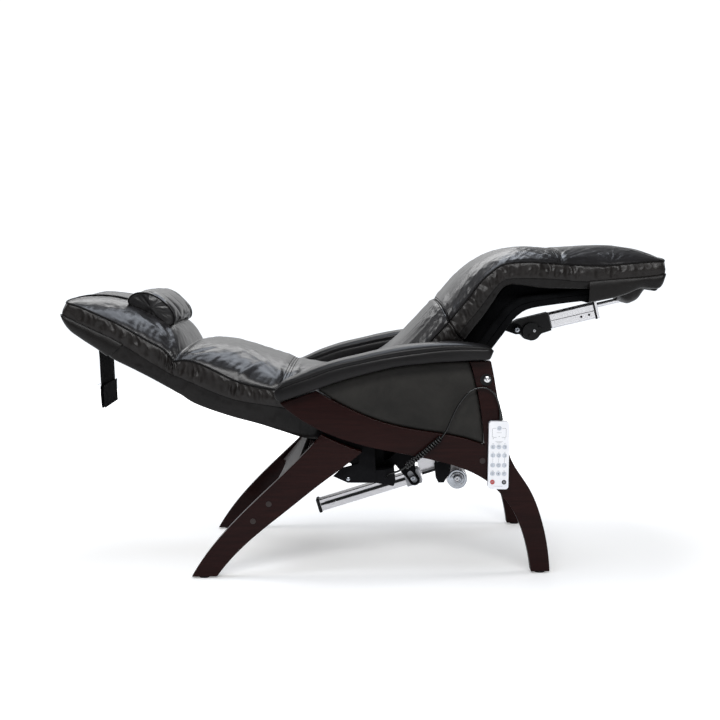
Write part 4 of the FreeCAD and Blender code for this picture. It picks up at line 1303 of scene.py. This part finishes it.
def strap_grid(cushion, x_from, x_to, half, lift):
    """Points on a cushion's crown, straight down from above."""
    tree = BVHTree.FromObject(cushion, bpy.context.evaluated_depsgraph_get())
    grid = []
    steps = round(abs(x_to - x_from) / 7)
    for i in range(steps + 1):
        x = x_from + (x_to - x_from) * i / steps
        row = []
        for share in shares_across(STRAP_CELLS):
            y = half * share
            hit = tree.ray_cast(metres((x, y, 1100)), Vector((0, 0, -1)))[0]
            row.append((x, y, hit.z / MM + lift))
        grid.append(row)
    return grid


def smoothed(grid):
    """Average a grid's heights with their neighbours twice, so that a band bridges small folds."""
    for _ in range(2):
        fresh = []
        for i, row in enumerate(grid):
            above, below = grid[max(i - 1, 0)], grid[min(i + 1, len(grid) - 1)]
            fresh.append([(x, y, (2 * z + above[k][2] + below[k][2] + row[max(k - 1, 0)][2]
                                  + row[min(k + 1, len(row) - 1)][2]) / 6)
                          for k, (x, y, z) in enumerate(row)])
        grid = fresh
    return grid


def pillow_strap(cushion):
    """Broad leather band from under the pillow over the head end, bound and stitched at its edges."""
    half = STRAP_HALF
    grid = smoothed(strap_grid(cushion, -642, -880, half, 2.4))
    over_the_end = ((-893, 833), (-902, 820), (-905, 800), (-903, 782), (-896, 768), (-880, 752), (-856, 730),
                    (-833, 711))
    for drop, (x, z) in enumerate(over_the_end):
        grid.append([(x, half * share, z - 0.2 * drop) for share in shares_across(STRAP_CELLS)])
    parts = [shell("pillow_band", grid, CUSHION, 2.6)]
    lines = []
    for k, inset in ((0, 1), (STRAP_CELLS, -1)):
        edge = [Vector(row[k]) for row in grid]
        parts.append(tube_mesh("band_binding", edge, 2.3, 8))
        for step in (1, 2):
            lines.append(([Vector(row[k + inset * step]) + Vector((0, 0, 1.3)) for row in grid], (0, 0, 1)))
    parts.append(stitch_mesh("band_stitches", lines))
    band = join("pillow_band", parts)
    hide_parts("pillow_strap")
    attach(band, "cradle")


def flap_turn(z, y):
    """How far the hanging flap is turned out of its plane."""
    return (0.35 + 0.65 * (FLAP_TOP - z) / FLAP_LENGTH) * (7 - 3 * y / STRAP_HALF)


def pillow_flap():
    """Black cloth tail of the pillow band, with a weight sewn into its pocket."""
    half = STRAP_HALF
    grid = []
    for i in range(FLAP_CELLS + 1):
        z = FLAP_TOP - FLAP_LENGTH * i / FLAP_CELLS
        row = []
        for share in shares_across(FLAP_CELLS):
            y = half * share
            sway = 2.2 * noise_at(y / 80, z / 90, 3) + 1.2 * noise_at(y / 30, z / 120, 8)
            row.append((-832 + flap_turn(z, y) + sway * min(1.0, i / 8), y, z))
        grid.append(row)
    flap = shell("flap_cloth", grid, CLOTH, 2.0)
    pocket_rows = []
    for i in range(13):
        t = i / 12
        z = FLAP_TOP - FLAP_LENGTH + 72 * t
        belly = 4.6 * math.sin(math.pi * t) ** 0.5 if 0 < t < 1 else 0.0
        row = []
        for share in shares_across(FLAP_CELLS):
            y = half * 0.985 * share
            edge = (1 - abs(y / half) ** 6) ** 0.5
            row.append((-833.2 + flap_turn(z, y) - belly * edge - 0.7 * noise_at(y / 22, z / 18, 5), y, z))
        pocket_rows.append(row)
    pocket = shell("flap_pocket", pocket_rows, CLOTH, COVER_THICKNESS)
    twin_rows = [[(x + 9, y, z) for x, y, z in row] for row in pocket_rows]
    twin = shell("flap_pocket_back", twin_rows, CLOTH, COVER_THICKNESS)
    lines = [([(x, -116, z), (x, 116, z)], (outward, 0, 0))
             for x, z, outward in ((-835.5, 560, -1), (-828.5, 560, 1), (-834.5, 489, -1))]
    pocket = join("flap_pocket", [pocket, twin, stitch_mesh("flap_stitches", lines)])
    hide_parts("pillow_flap")
    for piece in (flap, pocket):
        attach(piece, "pillow_flap")


# ---------------------------------------------------------------- armrests and side panels

# Rows of an armrest from its rear tip to its front: bottom, stitch line and top, each
# as x and z, and half its width there.
ARM_ROWS = [
    (-259, 540, -262, 549, -259, 559, 27),
    (-255, 533, -262, 553, -253, 573, 38),
    (-240, 530.5, -253, 563, -233, 590, 43.5),
    (-205, 541, -222, 576, -200, 604, 45.5),
    (-142, 562, -158, 597, -145, 627, 46.5),
    (-73, 585, -88, 621, -80, 647, 46.5),
    (-10, 602, -18, 636, -15, 661, 46.5),
    (45, 615, 40, 647.5, 43, 674, 46.5),
    (106, 627, 104, 657, 107, 685.5, 46.5),
    (160, 631.5, 160, 664, 160, 691, 46.5),
    (215, 635.5, 215, 670, 215, 694, 46.5),
    (270, 638, 270, 673.5, 270, 694, 46.5),
    (320, 640, 320, 673, 320, 689.5, 46.5),
    (350, 640, 352, 671.5, 350, 684.5, 46),
    (364, 641, 370, 670, 366, 679, 44),
    (370, 645, 378, 667, 374, 673, 38),
    (373, 651, 380, 664, 377, 667, 26),
]

ARM_BOTTOM = 9          # points across an armrest's flat bottom
ARM_BAND = [(0.04, -2.4), (0.14, -0.4), (0.35, 0.9), (0.6, 1.1), (0.82, 0.4), (0.95, -0.5), (1.0, -1.7)]
ARM_CROWN = 21          # points over its crown
ARM_SEAMS = (ARM_BOTTOM + len(ARM_BAND) - 1, ARM_BOTTOM + len(ARM_BAND) + ARM_CROWN)
ARM_STEPS = 4           # cells from one row to the next


def arm_section(row, middle):
    """Points round the armrest: flat below, straight side band, crowned above the stitch line."""
    x_low, z_low, x_seam, z_seam, x_top, z_top, half = row
    points = [(x_low, middle + share * (half - 7), z_low) for share in shares_across(ARM_BOTTOM - 1)]
    rising = [(x_low + (x_seam - x_low) * t, half + out, z_low + (z_seam - z_low) * t) for t, out in ARM_BAND]
    crown = []
    for k in range(1, ARM_CROWN + 1):
        angle = math.pi * k / (ARM_CROWN + 1)
        u, share = math.cos(angle), math.sin(angle) ** 0.62
        crown.append((x_seam + (x_top - x_seam) * share, (half + 0.2) * math.copysign(abs(u) ** 0.8, u),
                      z_seam + 1.0 + (z_top - z_seam - 1.0) * share))
    points += [(x, middle + y, z) for x, y, z in rising + crown]
    return points + [(x, middle - y, z) for x, y, z in rising[::-1]]


def close_arm(verts, faces, outline, outward):
    """A softly bulging end of an armrest."""
    rim = [Vector(verts[v]) for v in outline]
    centre = sum(rim, Vector()) / len(rim)

    def place_at(share):
        bulge = Vector((outward * 1.6 * (1 - share), 0, 0))
        return [tuple(centre + (point - centre) * share + bulge) for point in rim]

    close_end(verts, faces, outline, (0.7, 0.35), place_at, place_at(0.0)[0], outward > 0)


def armrest(side):
    """Padded arm: smooth crowned leather over a side band, joined by a stitched seam."""
    low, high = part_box("armrest_" + side)
    middle = (low.y + high.y) / 2 / MM
    last = ARM_STEPS * (len(ARM_ROWS) - 1)
    verts = []
    for row in smooth_line(ARM_ROWS, ARM_STEPS):
        for x, y, z in arm_section(row, middle):
            soft = 0.7 * noise_at(x / 60, y / 40, z / 30) + 0.35 * noise_at(x / 16, y / 18, z / 14)
            verts.append((x, y, z + (soft if z > 600 or x < -150 else 0.0)))
    ring = len(verts) // (last + 1)
    faces = sweep_faces(last + 1, ring, flip=True)
    for station, outward in ((0, -1), (last, 1)):
        close_arm(verts, faces, range(station * ring, station * ring + ring), outward)
    obj = mesh_object("arm_pad_" + side, verts, faces, ARM)
    obj.modifiers.new("finer", "SUBSURF").levels = 1
    apply_modifiers(obj)
    lines = []
    parts = [obj]
    for column in ARM_SEAMS:
        seam = along_vertices(obj, [i * ring + column for i in range(3, last - 2)], 0.5)
        outward = (0, -1 if seam[0].y < middle else 1, 0)
        parts.append(tube_mesh("arm_seam", seam, 1.5, 6))
        lines.append(([point - Vector((0, 0, 5.0)) for point in seam], outward))
    parts.append(stitch_mesh("arm_stitches", lines))
    pad = join("arm_pad_" + side, parts)
    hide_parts("armrest_" + side)
    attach(pad, "base")


PANEL_MIDDLE = 335      # middle of a side panel's thickness, each side of the middle


def upholstered_panel(side, sign):
    """Leather drawn over the side board: rounded edges, slightly full in the middle."""
    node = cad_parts["side_panel_" + side]
    panel = add_object("side_leather_" + side, node.data.copy())
    panel.data.materials.clear()
    panel.data.materials.append(PANEL)
    even = panel.modifiers.new("even", "REMESH")
    even.mode = "VOXEL"
    even.voxel_size = 0.0045
    soften = panel.modifiers.new("soften", "SMOOTH")
    soften.iterations = 6
    soften.factor = 0.5
    apply_modifiers(panel)
    for v in panel.data.vertices:
        x, _y, z = v.co / MM
        outer = sign * v.co.y / MM - PANEL_MIDDLE
        v.co += Vector((v.normal.x, 0, v.normal.z)) * 1.6 * MM
        if outer > 5:
            wave = 0.9 * noise_at(x / 90, z / 90, 2) + 0.25 * noise_at(x / 22, z / 22, 6)
            v.co.y += sign * MM * (1.6 + wave)
    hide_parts("side_panel_" + side)
    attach(panel, "base")


# ---------------------------------------------------------------- handset

def handset_frame():
    """The middle of the handset's face in millimetres, and the directions right and up on it."""
    low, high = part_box("handset_front")
    centre = (low + high) / 2 / MM
    tilt = math.radians(1.8)
    right = Vector((math.cos(tilt), 0, -math.sin(tilt)))
    up = Vector((math.sin(tilt), 0, math.cos(tilt)))
    return Vector((centre.x, low.y / MM, centre.z)), right, up


def printed_line(points, wide):
    """A thin raised print along points given in the handset's own plane."""
    centre, right, up = handset_frame()
    verts, faces = [], []
    for (x0, z0), (x1, z1) in zip(points, points[1:]):
        along = Vector((x1 - x0, z1 - z0))
        if along.length < 1e-6:
            continue
        along.normalize()
        across = Vector((-along.y, along.x)) * wide
        along *= wide * 0.5
        first = len(verts)
        for out in (-0.05, 0.12):
            for x, z in ((x0 - along.x - across.x, z0 - along.y - across.y),
                         (x1 + along.x - across.x, z1 + along.y - across.y),
                         (x1 + along.x + across.x, z1 + along.y + across.y),
                         (x0 - along.x + across.x, z0 - along.y + across.y)):
                verts.append(centre + right * x + up * z - Vector((0, out, 0)))
        faces += [(first + 4, first + 5, first + 6, first + 7)]
        faces += [(first + k, first + (k + 1) % 4, first + 4 + (k + 1) % 4, first + 4 + k) for k in range(4)]
        faces += [(first + 3, first + 2, first + 1, first)]
    return mesh_object("print", verts, faces, PRINT, smooth=False)


def ring_line(x, z, radius, start, end, steps=5):
    """Points along an arc, its start and end in degrees."""
    angles = [math.radians(start + (end - start) * k / steps) for k in range(steps + 1)]
    return [(x + radius * math.cos(angle), z + radius * math.sin(angle)) for angle in angles]


COLUMNS = (-17, 0, 17)
KEY_ROWS = (25, 0, -29, -54)


def handset_print():
    """Frame round the top key, lines that pair the keys, and plain marks by them."""
    parts = []
    for side, above, below in ((-1, 180, 270), (1, 0, -90)):
        upper = ring_line(side * 16, 76, 4, 90, above)
        lower = ring_line(side * 16, 57, 4, above, below)
        outline = [(side * 9, 80), (side * 16, 80), *upper, (side * 20, 57), *lower, (side * 8, 53)]
        parts.append(printed_line(outline, 0.35))
    strokes = [(0, 67, 7, 0.3), (0, 41, 11, 0.3), (0, 38, 7, 0.3), (0, -91, 13, 0.3)]
    strokes += [(x, z, 2.4, 0.3) for x in COLUMNS for z in (34.5, 9.5, -45.0)]
    strokes += [(-17, 49, 1.2, 0.5), (17, 49, 1.2, 0.5), (0, 56, 1.2, 0.5)]
    for x, z, half, wide in strokes:
        parts.append(printed_line([(x - half, z), (x + half, z)], wide))
    for x in COLUMNS:
        parts.append(printed_line([(x, -8), (x, -21)], 0.28))
    print_piece = join("handset_print", parts)
    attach(print_piece, "base")


# The mark on each key, in their order: arcs round the key's middle, as radius, start and end in degrees.
MARKS = [
    [(2.4, 60, -240)],
    [(2.6, 60, 300)], [(2.6, 0, 180)], [(2.6, -60, 120)],
    [(2.8, 90, 270)], [(2.8, 0, 360)], [(2.8, -90, 90)],
    [(2.8, 120, 240)], [(2.8, 30, 330)], [(2.8, -60, 60)],
    [(2.2, 0, 360)], [(1.6, 0, 360), (0.8, 0, 360)], [(2.6, 45, 225)],
    [(2.4, 0, 360)], [(2.4, 0, 360)],
]
PLAIN_KEYS = 13         # the last two keys are coloured, with white marks


def key_places():
    places = [(0, 80)] + [(x, z) for z in KEY_ROWS for x in COLUMNS]
    return places + [(-17, -79), (17, -79)]


def key_marks():
    """A small generic mark moulded on each key, riding with it."""
    centre, _right, _up = handset_frame()
    for number, (x, z) in enumerate(key_places()):
        name = "button_%02d" % (number + 1)
        low, _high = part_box(name)
        proud = Vector((0, low.y / MM - centre.y, 0))
        marks = [printed_line(ring_line(x, z, radius, start, end, 16), 0.38)
                 for radius, start, end in MARKS[number]]
        piece = join("key_mark_%02d" % (number + 1), marks)
        for v in piece.data.vertices:
            v.co += metres(proud)
        piece.data.materials[0] = WHITE if number >= PLAIN_KEYS else PRINT
        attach(piece, name)


# ---------------------------------------------------------------- hardware

def hex_head(name, place, radius, height, material):
    """Domed button-head bolt with a hexagonal socket, its head towards -Y."""
    place, direction = Vector(place), Vector((0, -1, 0))
    across = direction.orthogonal().normalized()
    other = direction.cross(across)
    sides = 24
    verts = []
    for share, up in ((1.0, 0.0), (1.0, 0.35), (0.92, 0.7), (0.72, 0.94), (0.5, 1.0)):
        verts += circle(place + direction * (up * height), across, other, radius * share, sides)
    for share, up in ((0.45, 0.98), (0.43, 0.4)):
        centre = place + direction * (up * height)
        for k, point in enumerate(circle(centre, across, other, radius * share, sides)):
            angle = 2 * math.pi * k / sides
            corner = math.cos(math.pi / 6) / math.cos((angle % (math.pi / 3)) - math.pi / 6)
            verts.append(centre + (point - centre) * corner)
    faces = sweep_faces(7, sides)
    faces.append(tuple(range(6 * sides, 7 * sides)))
    faces.append(tuple(range(sides))[::-1])
    return mesh_object(name, verts, faces, material)


def add_screws():
    """Screws and pins of the drives, the box and the hook; two black heads on the leg drive's tube paint the
    shade of its holes.
    """
    pieces = [
        ("gear_screw", (541, -46, 701), 4.6, WHITE, "leg_drive"),
        ("gear_screw_low", (524, -46, 686), 3.4, BLACK, "leg_drive"),
        ("gear_screw_high", (556, -46, 713), 3.4, BLACK, "leg_drive"),
        ("drive_pin", (486, -46, 706), 9.0, ZINC, "leg_drive"),
        # Two black heads stand for the holes in the leg drive's tube: their black is painted shade of the
        # holes.
        ("tube_hole_shade_rear", (693, -22, 741), 3.6, BLACK, "leg_drive"),
        ("tube_hole_shade_front", (718, -22, 747), 3.6, BLACK, "leg_drive"),
        ("hanger_bolt", (-52, -311, 284), 6.0, ZINC, "base"),
        ("lever_pin_near", (150, -35.4, 233.5), 8.5, ZINC, "carriage"),
    ]
    for name, place, radius, material, body in pieces:
        screw = hex_head(name, place, radius, radius * 0.45, material)
        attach(screw, body)


def hook_cap():
    """Bright domed cap of the handset's hook."""
    low, _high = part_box("remote_hook")
    cap = revolve("hook_cap", (361, -366.5, 583), (361, low.y / MM - 2.5, 583),
                  [(0, 10.6), (0.25, 11.0), (0.5, 10.8), (0.72, 9.6), (0.88, 7.2), (0.96, 4.4), (0.97, 3.6),
                   (0.8, 3.4)], CHROME, 32)
    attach(cap, "base")


def sloping(x, z, slope, distance, height):
    """A point of a drive's side view, as x and z: along its slope from a start, and out from its middle."""
    slope = math.radians(slope)
    return (x + distance * math.cos(slope) - height * math.sin(slope),
            z + distance * math.sin(slope) + height * math.cos(slope))


def slab(start, end, low, high):
    """Corners of a straight bar along a drive: where it starts and ends, and its lower and upper edge."""
    return [(start, low), (end, low), (end, high), (start, high)]


def bar_piece(name, corners, y_from, y_to, bevel):
    """A straight black bar between four corners of its side view, its edges rounded."""
    verts = [(x, y, z) for y in (y_from, y_to) for x, z in corners]
    count = len(corners)
    faces = [tuple(range(count)), tuple(range(2 * count - 1, count - 1, -1))]
    faces += [(k, count + k, count + (k + 1) % count, (k + 1) % count) for k in range(count)]
    obj = mesh_object(name, verts, faces, BLACK, smooth=False)
    rounded = obj.modifiers.new("rounded", "BEVEL")
    rounded.width = bevel * MM
    rounded.segments = 3
    apply_modifiers(obj)
    obj.modifiers.new("shading", "WEIGHTED_NORMAL")
    return apply_modifiers(obj)


TILT_DRIVE = (-150, 146, 16.26)     # rear end of the rail, as x and z, and its slope in degrees
LEG_DRIVE = (503, 710, 12.3)        # the same for the leg drive's tube


def rail_details():
    """Black strips along both sides of the tilt drive's rail, and its end cap: the groove is a black strip,
    painted shade of its depth, and an edge strip runs beside it.
    """
    pieces = []
    # The strips from -1.5 to 6.5 stand for the groove: their black is painted shade, not a cut.
    strips = ((slab(3, 337, -1.5, 6.5), 0.15, 0.1), (slab(3, 337, 16.4, 18.7), 0.2, 0.1),
              (slab(344, 392, -1.5, 6.5), 0.6, 0.2))
    for sign in (-1, 1):
        for corners, proud, bevel in strips:
            corners = [sloping(*TILT_DRIVE, *corner) for corner in corners]
            pieces.append(bar_piece("rail_strip", corners, sign * 19, sign * (20 + proud), bevel))
    cap = [sloping(*TILT_DRIVE, *corner) for corner in slab(-9, 2, -23, 23)]
    pieces.append(bar_piece("rail_cap", cap, -23.5, 23.5, 3.5))
    details = join("rail_details", pieces)
    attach(details, "base")


def motor_face():
    """Pressed end plate of the tilt motor: raised ring, bearing boss and two screws."""
    x, y, z = 290, -62.0, 233
    profile = [(0, 31.2), (0.3, 31.0), (0.42, 29.2), (0.46, 26.5), (0.4, 24.0), (0.5, 22.5), (0.62, 20.0),
               (0.55, 13.5), (0.7, 12.0), (0.9, 11.0), (1.0, 9.6), (0.99, 6.8), (0.7, 6.2), (0.7, 3.6),
               (0.95, 3.2), (0.98, 0.6)]
    parts = [revolve("motor_plate", (x, y + 1, z), (x, y - 5.5, z), profile, ZINC, 48)]
    for right, up in ((-13, 14), (13, -16)):
        parts.append(hex_head("motor_screw", (x + right, y - 2.0, z + up), 3.6, 2.4, CHROME))
    plate = join("motor_plate", parts)
    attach(plate, "base")


def tube_details():
    """Black collar at the end of the leg drive's tube, and the line along its side."""
    pieces = []
    for name, corners, y_from, y_to, bevel in (("tube_collar", slab(236, 242, -28, 28.5), -23.4, -21.0, 0.8),
                                               ("tube_line", slab(96, 236, -1.6, 0.2), -21.5, -20.8, 0.1)):
        corners = [sloping(*LEG_DRIVE, *corner) for corner in corners]
        pieces.append(bar_piece(name, corners, y_from, y_to, bevel))
    details = join("tube_details", pieces)
    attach(details, "leg_drive")


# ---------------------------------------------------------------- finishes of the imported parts

# Material, rounding of the edges in millimetres, and the parts.
FINISHES = [
    (WOOD, 2.6, ["side_frame_right", "side_frame_left", "rear_leg_right", "rear_leg_left", "rear_stretcher"]),
    (WOOD_PLUG, 0.6, ["wood_plugs"]),
    (BLACK, 2.0, ["foot_glides", "leg_gearbox"]),
    (STEEL, 1.2, ["side_bracket_right", "side_bracket_left", "motor_crossbar", "cradle_rail_right",
                  "cradle_rail_left", "cradle_crossbars", "lever_bracket", "leg_motor_bracket",
                  "leg_crossbars", "control_box"]),
    (PALE, 1.6, ["carriage"]),
    (BLACK, 1.2, ["remote_hook"]),
    (ALUMINIUM, 1.2, ["drive_rail"]),
    (BRIGHT, 1.2, ["leg_tube", "leg_rod"]),
    (ZINC, 0.8, ["frame_bolts"]),
    (ALUMINIUM, 1.6, ["drive_motor"]),
    (WHITE, 2.2, ["handset_front"]),
    (GREY, 2.0, ["handset_back"]),
    (KEY, 0.7, ["button_%02d" % number for number in range(1, PLAIN_KEYS + 1)]),
    (KEY_RED, 0.7, ["button_14"]),
    (KEY_BLACK, 0.7, ["button_15"]),
]


def finish_packed_parts():
    """Rounded edges and a finish for every part that stays as it was packed."""
    for material, rounding, names in FINISHES:
        for name in names:
            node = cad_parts[name]
            node.data.materials.clear()
            node.data.materials.append(material)
            node.modifiers.new("weld", "WELD").merge_threshold = 0.00002
            bevel = node.modifiers.new("rounded", "BEVEL")
            bevel.width = rounding * MM
            bevel.segments = 3
            bevel.limit_method = "ANGLE"
            bevel.angle_limit = math.radians(38)
            node.modifiers.new("shading", "WEIGHTED_NORMAL").keep_sharp = False


# ---------------------------------------------------------------- build

add_lead()
body = body_cushion()
leg_cushion()
add_boots()
for side, sign in (("left", 1), ("right", -1)):
    rail_sleeve(side, sign)
    knee_shade_cloth(side, sign)
    armrest(side)
    upholstered_panel(side, sign)
seat_cover()
neck_pillow()
pillow_strap(body)
pillow_flap()
handset_print()
key_marks()
add_screws()
hook_cap()
rail_details()
motor_face()
tube_details()
finish_packed_parts()

bpy.context.view_layer.update()
